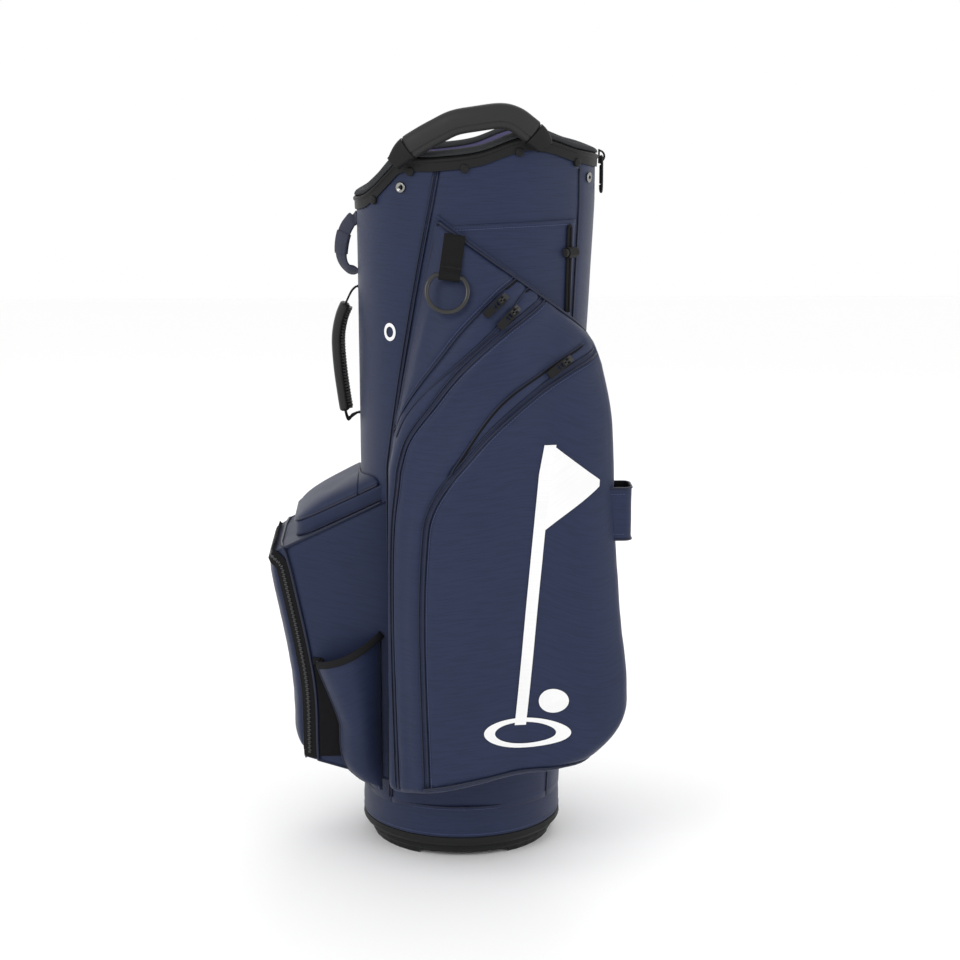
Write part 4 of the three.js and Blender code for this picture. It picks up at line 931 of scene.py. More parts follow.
def cloth_width(u, z):
    """The cloth's length across for a share of one, measured just short of u."""
    return (pocket_point(u, z) - pocket_point(u - 0.02, z)).length / 0.02


def beside(route, offset):
    """A seam beside another, offset millimetres to its right as it runs."""
    out = []
    for k, (u, z) in enumerate(route):
        a, b = route[max(k - 1, 0)], route[min(k + 1, len(route) - 1)]
        wide = cloth_width(min(u + 0.02, 0.99), z)
        run = Vector(((b[0] - a[0]) * wide, b[1] - a[1]))
        run = run.normalized() if run.length else Vector((0, 1))
        out.append((u + run.y * offset / wide, z - run.x * offset))
    return out


flap_edge = seam_route([(0.495, 736), (0.395, 718), (0.275, 680), (0.2, 642), (0.12, 596), (0.065, 564),
                        (0.0, 548)])
flap_seam = seam_route([(0.565, 724), (0.52, 716), (0.41, 680), (0.22, 618), (0.125, 578), (0.09, 546)])
main_seam = seam_route([(0.665, 710), (0.465, 676), (0.31, 630), (0.22, 582), (0.16, 542), (0.15, 496),
                        (0.12, 420), (0.12, 294), (0.15, 104)])
inner_edge = seam_route([(0.815, 656), (0.735, 646), (0.62, 626), (0.495, 600), (0.42, 568), (0.34, 508)])
inner_seam = seam_route([(0.89, 642), (0.755, 628), (0.6, 598), (0.47, 560), (0.38, 516), (0.285, 462),
                         (0.26, 412), (0.255, 300), (0.28, 114)])
rim_seam = [(u, pocket_top(u) - 5) for u in (k / 40 * 0.93 + 0.015 for k in range(41))]
rim_seam += seam_route([(0.947, 655), (0.955, 620), (0.957, 540), (0.957, 400), (0.955, 280), (0.93, 206),
                        (0.86, 152), (0.72, 140), (0.6, 136), (0.48, 127), (0.36, 117), (0.26, 110)], 8)[1:]
pocket_seams = [flap_edge, flap_seam, main_seam, beside(main_seam, 6.2), inner_edge, inner_seam,
                beside(inner_seam, 6.2), rim_seam]
ACROSS, UP = 118, 170


def seam_line(route, out=0.2):
    return [pocket_point(u, z, out) for u, z in route]


def drape_at(p):
    """Slow and quick unevenness of the filled pocket's cloth."""
    return 1.1 * ripple((p[0] * 0.6, p[1], p[2] * 0.6), 62, 2) + 0.45 * ripple(p, 24, 9)


def pocket_grid():
    """Heights and shares of the pocket's cloth, with the pull of its seams as distances out."""
    shares, rises = [
        [mix(t, t * t * (3 - 2 * t), 0.5) for t in (k / count for k in range(count + 1))]
        for count in (ACROSS, UP)
    ]
    spots = [[(u, mix(pocket_bottom(u), pocket_top(u), v)) for u in shares] for v in rises]
    flat = np.array([[pocket_point(u, z) for u, z in row] for row in spots])
    pull = np.zeros(flat.shape[:2])
    for seam in pocket_seams:
        line = seam_line(seam, 0)
        line = stretch(line, 0, 1, 2 + int(sum((b - a).length for a, b in zip(line, line[1:])) / 3))
        near = np.full(pull.shape, 1e9)
        for p in line:
            near = np.minimum(near, np.linalg.norm(flat - np.array(p), axis=2))
        near = np.maximum(near - 1.0, 0)
        pull += -1.7 * np.exp(-((near / 3.2) ** 2)) + 0.9 * np.exp(-(((near - 11) / 7) ** 2))
    return spots, flat, np.clip(pull, -3.0, 1.6)


pocket_spots, pocket_flat, pocket_pull = pocket_grid()


def pocket_cloth(i, j):
    """The pocket's face, with one more row all round that turns in to the tube."""
    column, row = round(i * (ACROSS + 2)) - 1, round(j * (UP + 2)) - 1
    k, m = min(max(column, 0), ACROSS), min(max(row, 0), UP)
    u, z = pocket_spots[m][k]
    if (k, m) != (column, row):
        return tube_point(pocket_angle(u, z), z, 0.6)
    drape = drape_at(pocket_flat[m, k]) * clamp01(min(u, 1 - u) * 14)
    return pocket_point(u, z, pocket_pull[m, k] + drape)


def mirrored(obj, name):
    """The same sheet on the bag's left side, with its wall."""
    twin = copy_of(obj, name, -1)
    for source in obj.modifiers:
        wall = twin.modifiers.new(source.name, source.type)
        wall.thickness, wall.offset = source.thickness, source.offset
    return twin


right_pocket = panel("pocket_cloth_right", ACROSS + 2, UP + 2, pocket_cloth)
dress(right_pocket, navy, "apparel_pocket_right")
dress(mirrored(right_pocket, "pocket_cloth_left"), navy, "apparel_pocket_left")


cord_runs = [
    (flap_edge, 0.6, 1.0), (flap_seam, 0.4, 0.9), (main_seam, 0.2, 1.4), (beside(main_seam, 6.2), 0, 0.9),
    (inner_edge, 0.6, 1.0), (inner_seam, 0.2, 1.4), (beside(inner_seam, 6.2), 0, 0.9), (rim_seam, 0.8, 1.9),
    ([(0.012, mix(100, 800, k / 60)) for k in range(61)], -1.5, 1.8),
]
cords = [sweep("cord", seam_line(route, out), round_section(radius)) for route, out, radius in cord_runs]
pocket_piping = welded("pocket_piping_right", cords)
dress(pocket_piping, navy_piping)
dress(mirrored(pocket_piping, "pocket_piping_left"), navy_piping)


def seam_normals(route):
    return [on_pocket(min(max(u, 0.02), 0.97), z, 0).to_3x3() @ Vector((0, 0, 1)) for u, z in route]


for name, seam, offset in (("main", main_seam, -4), ("inner", inner_seam, -4), ("flap", flap_edge, 4)):
    route = [(u, z) for u, z in beside(seam, offset) if u > 0.01]
    stitches(f"{name}_stitches", seam_line(route, 1.0), seam_normals(route))

# Hidden zips: a black coil shows in the gap under the inner flap and beside the upper sliders.
coil_tape = grained("zip coil", (0.005, 0.005, 0.006), 0.6, 1200, 0.3, Specular_IOR_Level=0.1)
coils = []
for route, start, end in ((flap_edge, 0.0, 0.12), (flap_seam, 0.03, 0.14), (inner_edge, 0.0, 1.0)):
    first, last = round(start * (len(route) - 1)), round(end * (len(route) - 1))
    part = beside(route, -1.9)[first:last + 1]
    coils.append(sweep("coil", seam_line(part, 0.2), round_section(1.5), scale=eased_ends(0.3, 0.2)))
zip_coils = welded("zip_coils_right", coils)
dress(zip_coils, coil_tape, slot="black_moulding")
dress(mirrored(zip_coils, "zip_coils_left"), coil_tape, slot="black_moulding")

# Printed badge in white: a flag on its stick, the ball and the hole.


def print_point(s, z, out=0.9):
    """s millimetres across from the badge's middle line."""
    u = 0.6 + s / cloth_width(0.62, z)
    k = min(range(ACROSS + 1), key=lambda i: abs(pocket_spots[0][i][0] - u))
    m = min(range(UP + 1), key=lambda j: abs(pocket_spots[j][k][1] - z))
    drape = drape_at(pocket_flat[m, k])
    return pocket_point(u, z, max(drape, 0) * 0.6 + drape * 0.4 + max(pocket_pull[m, k], 0) + out)


def stick(u, v):
    z = mix(196, 540, v)
    return print_point(mix(-7, 7, u) + (z - 196) * 0.07, z)


def pennant(u, v):
    z = mix(mix(437, 487, u), mix(537, 495, u), v)
    return print_point(7 + (z - 196) * 0.07 + u * 56, z)


def ball(u, v):
    turn, r = 2 * math.pi * u, mix(0.02, 15, v)
    return print_point(36 + r * math.cos(turn), 226 + r * math.sin(turn))


def hole(u, v):
    turn, grow = 2 * math.pi * u, mix(0.72, 1, v)
    return print_point(4 + 50 * grow * math.cos(turn), 186 + 19 * grow * math.sin(turn))


badge = [
    panel("badge", 4, 60, stick), panel("badge", 16, 24, pennant),
    panel("badge", 36, 5, ball, closed=True), panel("badge", 60, 3, hole, closed=True),
]
badge = welded("flag_badge", badge)
dress(badge, ink)
dress(mirrored(badge, "flag_badge_left"), ink)

# ------------------------------------------------------------------ zip sliders and pulls
# Cast sliders with a bail, each with a flat moulded rubber pull pierced like a ladder.
gunmetal = grained("gunmetal", (0.045, 0.045, 0.046), 0.3, 600, 0.05, 1.0)
pull_rubber = grained("pull rubber", (0.006, 0.006, 0.0065), 0.45, 1400, 0.2, Specular_IOR_Level=0.16)
for name in ("zip_outer", "zip_middle", "zip_inner", "zip_ball"):
    finish_node(f"{name}_slider", gunmetal, 0.5)
    finish_node(f"{name}_pull", pull_rubber, 0.35)
for name in ("zip_outer", "zip_middle", "zip_inner"):
    for part, material, slot in (("slider", gunmetal, "dark_metal"), ("pull", pull_rubber, "soft_grip")):
        twin = copy_of(nodes[f"{name}_{part}"], f"{name}_{part}_left", -1)
        dress(soften(twin, 0.35), material, slot=slot)

# ------------------------------------------------------------------ towel strap and ring
# Black webbing sewn into the pocket's rim, folded round the bar of a flat metal ring.
webbing = cloth_material(
    "black webbing", (0.009, 0.009, 0.009), (0.004, 0.004, 0.004), 1.6, 3.2, 0.5, 0.7, Roughness=0.8,
    Specular_IOR_Level=0.1,
)
TOWEL_DROP, EYE = 52, 3.9
towel_place = on_pocket(0.128, 788, 3.2, 6)
fold = [(0.9, 0), (0.9, -24), (0.7, -TOWEL_DROP + 7)]
fold += [(4.3 - 4.2 * math.cos(a), -TOWEL_DROP - 4.2 * math.sin(a)) for a in np.linspace(0, 3.5, 8)]
fold += [(6.2, -TOWEL_DROP + 4.9), (3.4, -TOWEL_DROP + 8.4), (2.7, -TOWEL_DROP + 11.5)]
fold_line = smooth_line([towel_place @ Vector((0, y, out)) for out, y in fold], 5)
across = (towel_place.to_3x3() @ Vector((1, 0, 0))).normalized()
fold_up = []
for k in range(len(fold_line)):
    run = fold_line[min(k + 1, len(fold_line) - 1)] - fold_line[max(k - 1, 0)]
    fold_up.append(run.normalized().cross(across))
strap = sweep("towel_strap_webbing", fold_line, flat_section(12.7, 1.7), fold_up)
dress(strap, webbing, "towel_webbing", body="towel_strap", slot="black_webbing")
box_stitch = [towel_place @ Vector((x, -TOWEL_DROP + 12, 1.9)) for x in (-11, 0, 11)]
out_of_it = towel_place.to_3x3() @ Vector((0, 0, 1))
black_thread = cloth_material(
    "black thread", (0.03, 0.03, 0.032), (0.01, 0.01, 0.01), 0.5, 1, 0.2, 0.2, False, Roughness=0.7
)
stitches("towel_strap_stitches", box_stitch, [out_of_it] * 3, 2.6, 1.8, "towel_strap", black_thread)

RING_RADIUS, RING_RISE = 24.5, 18
ring_place = towel_place @ Matrix.Translation((0, -TOWEL_DROP, EYE + 0.4))
ring_start = math.asin(RING_RISE / RING_RADIUS)
ring_line = []
for k in range(57):
    a = math.pi - ring_start + (math.pi + 2 * ring_start) * k / 56
    ring_line.append(Vector((RING_RADIUS * math.cos(a), RING_RADIUS * math.sin(a) - RING_RISE, 0)))
ring_line.append(Vector((ring_line[-1].x - 3, 0.3, 0)))
ring_line.append(Vector((0, 0.3, 0)))
ring_line.append(Vector((-ring_line[-2].x, 0.3, 0)))
ring_up = ring_place.to_3x3() @ Vector((0, 0, 1))
ring_line = [ring_place @ p for p in ring_line]
ring_wire = oval_section(2.7, 2.0, 3.0, steps=14)
towel_ring = sweep("towel_ring_wire", ring_line, ring_wire, [ring_up] * len(ring_line), closed=True)
dress(towel_ring, gunmetal, "towel_ring", body="towel_ring", slot="dark_metal")

# ------------------------------------------------------------------ accessory clip
# A sprung hook hanging in a moulded lug at the spine of the cuff.
finish_node("clip_lug", moulded, 0.3)
finish_node("clip_hook", moulded, 0.3)
finish_node("clip_gate", gunmetal, 0.2)

# ------------------------------------------------------------------ ball pocket
# A boxed pocket on the front, sewn from side gussets, base and sloping top. A bulged front door is
# closed by a coarse zip on a black band that wraps its sides and top.
BALL_HALF, DOOR_HALF, BAND_DEPTH = 86.06, 70.05, 18
BALL_BACK, FLOOR_BACK, FLOOR_FRONT = -60, 82, 120
ball_reach = bend([80, 128, 206, 262, 360, 420], [56, 59, 60, 67, 86, 98])


def tube_front(z):
    return tube_point(-90, z).y


def ball_corner(z):
    return tube_front(z) - ball_reach(z)


def slope(y):
    return 455 - 0.47 * (-100 - y)


TOP_CORNER = ball_corner(400)
FRONT_TOP = slope(TOP_CORNER - BAND_DEPTH)
DOOR_LOW, DOOR_HIGH = 128, FRONT_TOP - 8


def gusset(u, v):
    y = BALL_BACK
    for _ in range(3):
        z = mix(mix(FLOOR_BACK, FLOOR_FRONT, u), slope(y), v)
        y = mix(BALL_BACK, ball_corner(z), u)
    lean = math.sin(math.pi * clamp01(u * 0.9)) * math.sin(math.pi * v)
    sag = 1.4 * ripple((0, y, z * 0.7), 52, 5) + 1.6 * ripple((0, y + z * 0.5, z), 26, 8) * (1 - v)
    tuck = -2.5 * math.exp(-(((1 - u) / 0.035) ** 2)) - 2.5 * math.exp(-(((1 - v) / 0.03) ** 2))
    return Vector((BALL_HALF + 2.6 * lean + sag * lean + tuck, y, z))


def chamfer(u, v):
    z = mix(FLOOR_FRONT, slope(TOP_CORNER - BAND_DEPTH * u), v)
    return Vector((mix(BALL_HALF, DOOR_HALF, u), ball_corner(z) - BAND_DEPTH * u, z))


def front_strip(low, high):
    def place(u, v):
        z = mix(low, high, v)
        return Vector((mix(-DOOR_HALF, DOOR_HALF, u), ball_corner(z) - BAND_DEPTH, z))

    return place


def pocket_floor(u, v):
    x = mix(-BALL_HALF, BALL_HALF, u)
    ahead = BAND_DEPTH * clamp01((BALL_HALF - abs(x)) / (BALL_HALF - DOOR_HALF))
    y = mix(ball_corner(FLOOR_FRONT) - ahead, BALL_BACK, v)
    return Vector((x, y, mix(FLOOR_FRONT, FLOOR_BACK, v) + 1.2 * ripple((u * 160, y, 0), 40)))


def pocket_lid_slope(u, v):
    y = mix(BALL_BACK, TOP_CORNER - BAND_DEPTH, v)
    inset = max(0, (TOP_CORNER - y)) * (BALL_HALF - DOOR_HALF) / BAND_DEPTH
    return Vector((mix(-1, 1, u) * (BALL_HALF - inset), y, slope(y) + 0.6 * ripple((u * 160, y, 0), 30, 4)))


right_gusset = panel("ball_gusset", 48, 64, gusset, 2.4, over=True)
left_gusset = mirrored(right_gusset, "ball_gusset_left")
right_chamfer = panel("ball_chamfer", 4, 50, chamfer, 2.4, over=True)
left_chamfer = mirrored(right_chamfer, "ball_chamfer_left")
ball_panels = [
    right_gusset, left_gusset, right_chamfer, left_chamfer,
    panel("ball_low_strip", 24, 2, front_strip(118, DOOR_LOW), 2.4),
    panel("ball_high_strip", 24, 2, front_strip(DOOR_HIGH, FRONT_TOP), 2.4),
    panel("ball_floor", 30, 20, pocket_floor, 2.4, over=True),
    panel("ball_slope", 30, 30, pocket_lid_slope, 2.4, over=True),
]
dress(welded("ball_pocket_body", ball_panels), navy, "ball_pocket")

corner_line = [Vector((BALL_HALF + 0.6, ball_corner(z) - 0.3, z)) for z in np.linspace(FLOOR_FRONT, 392, 60)]
over_top = smooth_line([
    corner_line[-1], (BALL_HALF - 0.5, TOP_CORNER - 0.5, FRONT_TOP + 6.6),
    (BALL_HALF - 5, TOP_CORNER - 1.5, FRONT_TOP + 9),
    (DOOR_HALF + 2, TOP_CORNER - 3, FRONT_TOP + 8.4),
    (DOOR_HALF - 20, TOP_CORNER - 5, FRONT_TOP + 7.4),
], 6)[1:]


def other_side(line):
    return [Vector((-p.x, p.y, p.z)) for p in reversed(line)]


whole = corner_line + over_top
whole += other_side(whole)
top_edge = [Vector((BALL_HALF - 1, y, slope(y) - 0.4)) for y in np.linspace(-100, TOP_CORNER, 40)]
base_ends = [Vector((BALL_HALF - 0.5, BALL_BACK, FLOOR_BACK))]
base_ends.append(Vector((BALL_HALF - 0.5, ball_corner(FLOOR_FRONT), FLOOR_FRONT)))
base_edge = [base_ends[0].lerp(base_ends[1], k / 30) for k in range(31)]
ball_cords = [sweep("cord", whole, round_section(1.7))]
for edge, radius in ((top_edge, 1.6), (base_edge, 1.5)):
    ball_cords += [sweep("cord", line, round_section(radius)) for line in (edge, other_side(edge))]
dress(welded("ball_pocket_piping", ball_cords), navy_piping)

# The zip band and its teeth.
band_out = Vector((BAND_DEPTH, DOOR_HALF - BALL_HALF, 0)).normalized()
band_half = []
for z in np.linspace(122, FRONT_TOP - 20, 50):
    band_half.append((Vector((78.1, ball_corner(z) - 9, z)) + band_out * 1.2, band_out))
for share in np.linspace(0.08, 1, 14):
    turn = share * math.pi / 2
    x = 56 + 22.4 * math.cos(turn)
    z = FRONT_TOP - 20 + 18 * math.sin(turn)
    lean = clamp01((78.4 - x) / 8.4)
    normal = (band_out * (1 - lean) + Vector((0, -1, 0.4 * share)) * lean).normalized()
    p = Vector((x, ball_corner(z) - mix(8.6, BAND_DEPTH, lean), z)) + normal * (1.2 + 0.8 * lean)
    band_half.append((p, normal))
for x in np.linspace(48, 0, 8):
    top = Vector((x, ball_corner(FRONT_TOP - 2) - BAND_DEPTH - 2, FRONT_TOP - 2))
    band_half.append((top, Vector((0, -1, 0.4)).normalized()))
band_line, band_normals = [[pair[k] for pair in band_half] for k in (0, 1)]
band_line, band_normals = [line + other_side(line[:-1]) for line in (band_line, band_normals)]
zip_tape_cloth = cloth_material(
    "black zip tape", (0.007, 0.007, 0.008), (0.003, 0.003, 0.003), 0.9, 1.8, 0.4, 0.6, Roughness=0.8,
    Specular_IOR_Level=0.1,
)


def blocks(name, blocks_at):
    """Small open-backed blocks, each from its back's and front's middle and its two half sides."""
    points, faces = [], []
    for back, front, wide, long in blocks_at:
        n = len(points)
        for middle in (back, front):
            points += [middle + wide * a + long * b for a, b in ((-1, -1), (1, -1), (1, 1), (-1, 1))]
        faces.append([n + 4, n + 5, n + 6, n + 7])
        faces += [[n + i, n + (i + 1) % 4, n + 4 + (i + 1) % 4, n + 4 + i] for i in range(4)]
    return mesh_piece(name, points, faces, smooth=False)


zip_band = sweep("ball_zip_band", band_line, flat_section(11.4, 1.6), band_normals)
dress(zip_band, zip_tape_cloth, slot="black_moulding")
tooth_spots = stretch(band_line, 0.01, 0.99, 250)
teeth = []
for k, p in enumerate(tooth_spots):
    near = min(range(len(band_line)), key=lambda i: (band_line[i] - p).length)
    run = (tooth_spots[min(k + 1, 249)] - tooth_spots[max(k - 1, 0)]).normalized()
    out, side = band_normals[near], run.cross(band_normals[near]).normalized()
    middle = p + side * (0.7 if k % 2 else -0.7)
    teeth.append((middle + out * 0.6, middle + out * 1.9, side * 2.1, run * 0.75))
teeth_material = grained("zip teeth", (0.022, 0.022, 0.023), 0.34, 900, 0.05)
dress(blocks("ball_zip_teeth", teeth), teeth_material, slot="black_moulding")


def door_place(u, v):
    half = DOOR_HALF - 2.4
    s, t = 2 * u - 1, 2 * v - 1
    z = mix(DOOR_LOW + 1, DOOR_HIGH - 1, v)
    crown = math.sqrt(max(0, (1 - s**4) * (1 - t**10)))
    folds = (1.0 * ripple((s * 60, 0, z * 0.5), 36, 6) + 0.5 * ripple((s * 60, 0, z), 18, 2)) * crown
    return Vector((s * half, ball_corner(z) - BAND_DEPTH - 15 * crown - folds + 1.0, z))


ball_door = panel("ball_door_cloth", 44, 60, door_place, 3)
dress(ball_door, navy, "ball_pocket_door", body="ball_door")
frame_line = [door_place(0.0, v) for v in np.linspace(0, 1, 40)]
frame_line += [door_place(u, 1.0) for u in np.linspace(0, 1, 30)[1:]]
frame_line += [door_place(1.0, v) for v in np.linspace(1, 0, 40)[1:]]
seam_cord("ball_door_piping", [p + Vector((0, -0.8, 0)) for p in frame_line], 1.5, body="ball_door")

# ------------------------------------------------------------------ valuables pocket
# A shallow tray on the ball pocket's slope, with a padded lid that zips down onto it.
LID_HALF, TRAY_REACH, TRAY_HIGH = 76.1, 206, 20
LID_BACK = tube_front(480) - 3


def lid_half_at(y, reach):
    """Half width, drawn in round the front corners."""
    near = clamp01((-y - (reach - 24)) / 24)
    return LID_HALF - 5 * clamp01((-y - 130) / 76) - 22 * (1 - math.sqrt(max(0, 1 - near * near)))


def lid_outline(reach, back, count=70):
    ys = [mix(back, -reach, 1 - (1 - k / count) ** 1.8) for k in range(count + 1)]
    right = [(lid_half_at(y, reach), y) for y in ys]
    return right + [(-x, y) for x, y in reversed(right)]


def tray_wall(u, v):
    outline = lid_outline(TRAY_REACH, -84)
    spot = u * (len(outline) - 1)
    k = min(int(spot), len(outline) - 2)
    x = mix(outline[k][0], outline[k + 1][0], spot - k)
    y = mix(outline[k][1], outline[k + 1][1], spot - k)
    return Vector((x, y, slope(y) + mix(0.4, TRAY_HIGH, v)))


def lid_cloth(u, v):
    y = mix(LID_BACK, -(TRAY_REACH + 3), 1 - (1 - v) ** 1.6)
    s = math.sin((u - 0.5) * math.pi)
    w = (-y + LID_BACK) / (TRAY_REACH + 3 + LID_BACK)
    rise = 17 * max(0, 1 - abs(s) ** 5) ** 0.45 * max(0, 1 - w**3.2) ** 0.5
    folds = 0.8 * ripple((s * 70, y, 0), 30, 3) * clamp01(rise / 10)
    return Vector((s * lid_half_at(y, TRAY_REACH + 3), y, slope(y) + TRAY_HIGH + 0.8 + rise + folds))


dress(panel("valuables_tray", 160, 6, tray_wall, 2.4), navy, "valuables_pocket")
lid = panel("valuables_lid_cloth", 60, 50, lid_cloth, 2.4, over=True)
dress(lid, navy, "valuables_lid", body="valuables_lid")


def back_on_tube(x):
    """Where the tube's front stands at x, by the valuables pocket."""
    half_x, half_y = 123, 138.5
    return 10 - half_y * (1 - min(1, abs(x / half_x)) ** ROUNDNESS) ** (1 / ROUNDNESS)


def lid_root(u, v):
    s = math.sin((u - 0.5) * math.pi)
    half = lid_half_at(LID_BACK, TRAY_REACH + 3)
    y = mix(max(back_on_tube(s * half), LID_BACK + 0.5), LID_BACK - 1.5, v)
    rise = 17 * max(0, 1 - abs(s) ** 5) ** 0.45 - 0.7 * v
    return Vector((s * half, y, slope(y) + TRAY_HIGH + 0.8 + rise))


dress(panel("valuables_lid_root", 60, 8, lid_root, 2.0, over=True), navy)


def lid_cord(name, outline, high, grow, body="bag"):
    line = [Vector((x + math.copysign(grow, x), y, slope(y) + high)) for x, y in outline]
    seam_cord(name, line, 1.7, body=body)


lid_cord("valuables_base_cord", lid_outline(TRAY_REACH, -92), 1.6, 1.0)
lid_cord("valuables_lid_cord", lid_outline(TRAY_REACH + 3, LID_BACK), TRAY_HIGH + 1.8, 0.4, "valuables_lid")
for side, way in (("right", 1), ("left", -1)):
    edge = [(LID_HALF * way, y) for y in np.linspace(back_on_tube(LID_HALF), LID_BACK + 0.5, 8)]
    lid_cord(f"valuables_root_cord_{side}", edge, TRAY_HIGH + 1.8, 0.4)
tray_zip, tray_out = [], []
for x, y in lid_outline(TRAY_REACH, -92):
    tray_zip.append(Vector((x + math.copysign(0.9, x), y, slope(y) + 15.5)))
    tray_out.append(Vector((math.copysign(1, x), -0.6 * clamp01((-y - 170) / 30), 0)).normalized())
tray_tape = sweep("valuables_zip", tray_zip, flat_section(2.6, 1.2), tray_out)
dress(tray_tape, zip_tape_cloth, slot="black_moulding")

# ------------------------------------------------------------------ bottle pockets
# A sagging pouch on each gusset of the ball pocket, edged with black elastic. A black stretch
# gusset joins it to the ball pocket's front corner.
POUCH_BACK, POUCH_LOW = -102.5, 80
pouch_front = bend([84, 95, 125, 184, 245, 262], [1, -26, -53, -70, -93, -97])


def pouch_edges(z):
    lead = 13 * clamp01((z - 110) / 60)
    return POUCH_BACK + min(pouch_front(min(z, 262)) + lead, -6), POUCH_BACK


def pouch(u, v):
    top = mix(252, 288, u) - 5 * math.sin(math.pi * u)
    z = mix(POUCH_LOW, top, v)
    front, back = pouch_edges(z)
    y = mix(front, back, u)
    full = 30 * math.sqrt(clamp01((z - POUCH_LOW) / 90))
    bulge = full * math.sin(math.pi * mix(u, math.sqrt(u), 0.3)) ** 0.7 if 0 < u < 1 else 0
    seat = max(BALL_HALF + 1.0, oval_half(y, z, 1.0))
    folds = 1.2 * ripple((0, y, z * 0.6), 30, 11) + 0.7 * ripple((0, y + z, z), 15, 2)
    folds *= math.sin(math.pi * u)
    return Vector((seat + bulge + 2.2 + folds, y, z))


def stretch_gusset(u, v):
    z = mix(126, 254, v)
    front = ball_corner(z) + 2.5
    y = mix(front, pouch_edges(z)[0] + 9, u)
    bow = 3.5 * u * math.sin(math.pi * v) + 0.8 * ripple((0, y, z), 12)
    return Vector((BALL_HALF + 1.5 + bow, y, z))


elastic = cloth_material(
    "black elastic", (0.011, 0.011, 0.012), (0.004, 0.004, 0.004), 1.1, 2.2, 0.3, 0.6, False,
    Roughness=0.75, Specular_IOR_Level=0.1,
)
pouch_right = panel("pouch_right", 44, 60, pouch, 2.0)
stretch_right = panel("pouch_gusset_right", 16, 40, stretch_gusset, 1.0)
hem = [stretch_gusset(k / 10, 1) + Vector((1.6, 0, 0)) for k in range(9)]
hem += [pouch(u, 1) + Vector((0.4, 0, 0)) for u in np.linspace(0.05, 1, 40)]
hem = [p - Vector((0, 0, 2.5)) for p in smooth_line(hem, 2)]
hem_right = sweep("pouch_hem_right", hem, flat_section(4.6, 3.4, 0.8), [Vector((1, -0.15, 0))] * len(hem))
front_cord = [pouch(0.004, v) + Vector((0.4, 0, 0)) for v in np.linspace(0.02, 0.97, 50)]
cord_right = sweep("pouch_cord_right", front_cord, round_section(1.3))
for piece, part, material, *node in (
    (pouch_right, "pouch", navy, "bottle_pocket"), (stretch_right, "pouch_gusset", zip_tape_cloth),
    (hem_right, "pouch_hem", elastic), (cord_right, "pouch_cord", navy_piping),
):
    left = mirrored(piece, f"{part}_left")
    dress(piece, material, *[f"{name}_right" for name in node])
    dress(left, material, *[f"{name}_left" for name in node])

# ------------------------------------------------------------------ lift handle and front loop
# Webbing sewn to the front wall at both ends and sheathed in a rubber grip with ribs inside. The
# loop above it is a short strap of navy webbing folded through a keeper.
LIFT_TOP, LIFT_BOTTOM = 713, 553
LIFT_AXIS = min(tube_front(LIFT_TOP), tube_front(LIFT_BOTTOM)) - 2.2
lift_knots = [
    (0, LIFT_TOP), (-6, LIFT_TOP - 6), (-13, LIFT_TOP - 20), (-20.5, LIFT_TOP - 38), (-25, LIFT_TOP - 64),
    (-23.5, LIFT_TOP - 98), (-19.5, LIFT_TOP - 132), (-15.5, LIFT_TOP - 158), (-12, LIFT_TOP - 168),
    (-7, LIFT_BOTTOM - 4), (0, LIFT_BOTTOM),
]
lift_line = smooth_line([(0, LIFT_AXIS + y, z) for y, z in lift_knots], 10)


def lift_webbing(u, v):
    spot = v * (len(lift_line) - 1)
    k = min(int(spot), len(lift_line) - 2)
    p = lift_line[k].lerp(lift_line[k + 1], spot - k)
    half = min(11.2, 3.4 + LIFT_AXIS - p.y)
    return p + Vector(((2 * u - 1) * half, 0, 0))


lift_strap = panel("lift_strap", 6, 90, lift_webbing)
wall = lift_strap.modifiers.new("wall", "SOLIDIFY")
wall.thickness = 2.0 * MM
wall.offset = 0
dress(lift_strap, webbing, "lift_handle_webbing", body="lift_handle", slot="black_webbing")
for name, z in (("upper", LIFT_TOP), ("lower", LIFT_BOTTOM)):
    into_wall = [Vector((0, tube_front(z) + 2, z)), Vector((0, LIFT_AXIS + 0.3, z))]
    root = sweep(f"lift_root_{name}", into_wall, flat_section(3.8, 2.6), [Vector((0, 0, 1))] * 2)
    dress(root, webbing, slot="black_webbing")
grip_line = stretch(lift_line, 0.13, 0.86, 70)
lift_section = oval_section(14.2, 6.6, 3.2)
grip_out = [Vector((0, -1, 0))] * len(grip_line)
lift_grip = sweep("lift_grip", grip_line, lift_section, grip_out, scale=eased_ends(0.03, 0.62))
dress(lift_grip, soft_rubber, "lift_handle_grip", body="lift_handle", slot="soft_grip")
ribs_inside = []
rib_spots = stretch(lift_line, 0.15, 0.84, 34)
for k, p in enumerate(rib_spots):
    run = (rib_spots[min(k + 1, 33)] - rib_spots[max(k - 1, 0)]).normalized()
    inward = run.cross(Vector((1, 0, 0)))
    inward = inward if inward.y > 0 else -inward
    ribs_inside.append((p + inward * 5.0, p + inward * 10.2, Vector((11.5, 0, 0)), run))
ribs_inside = soften(blocks("lift_grip_ribs", ribs_inside), 0.3)
dress(ribs_inside, soft_rubber, body="lift_handle", slot="soft_grip")

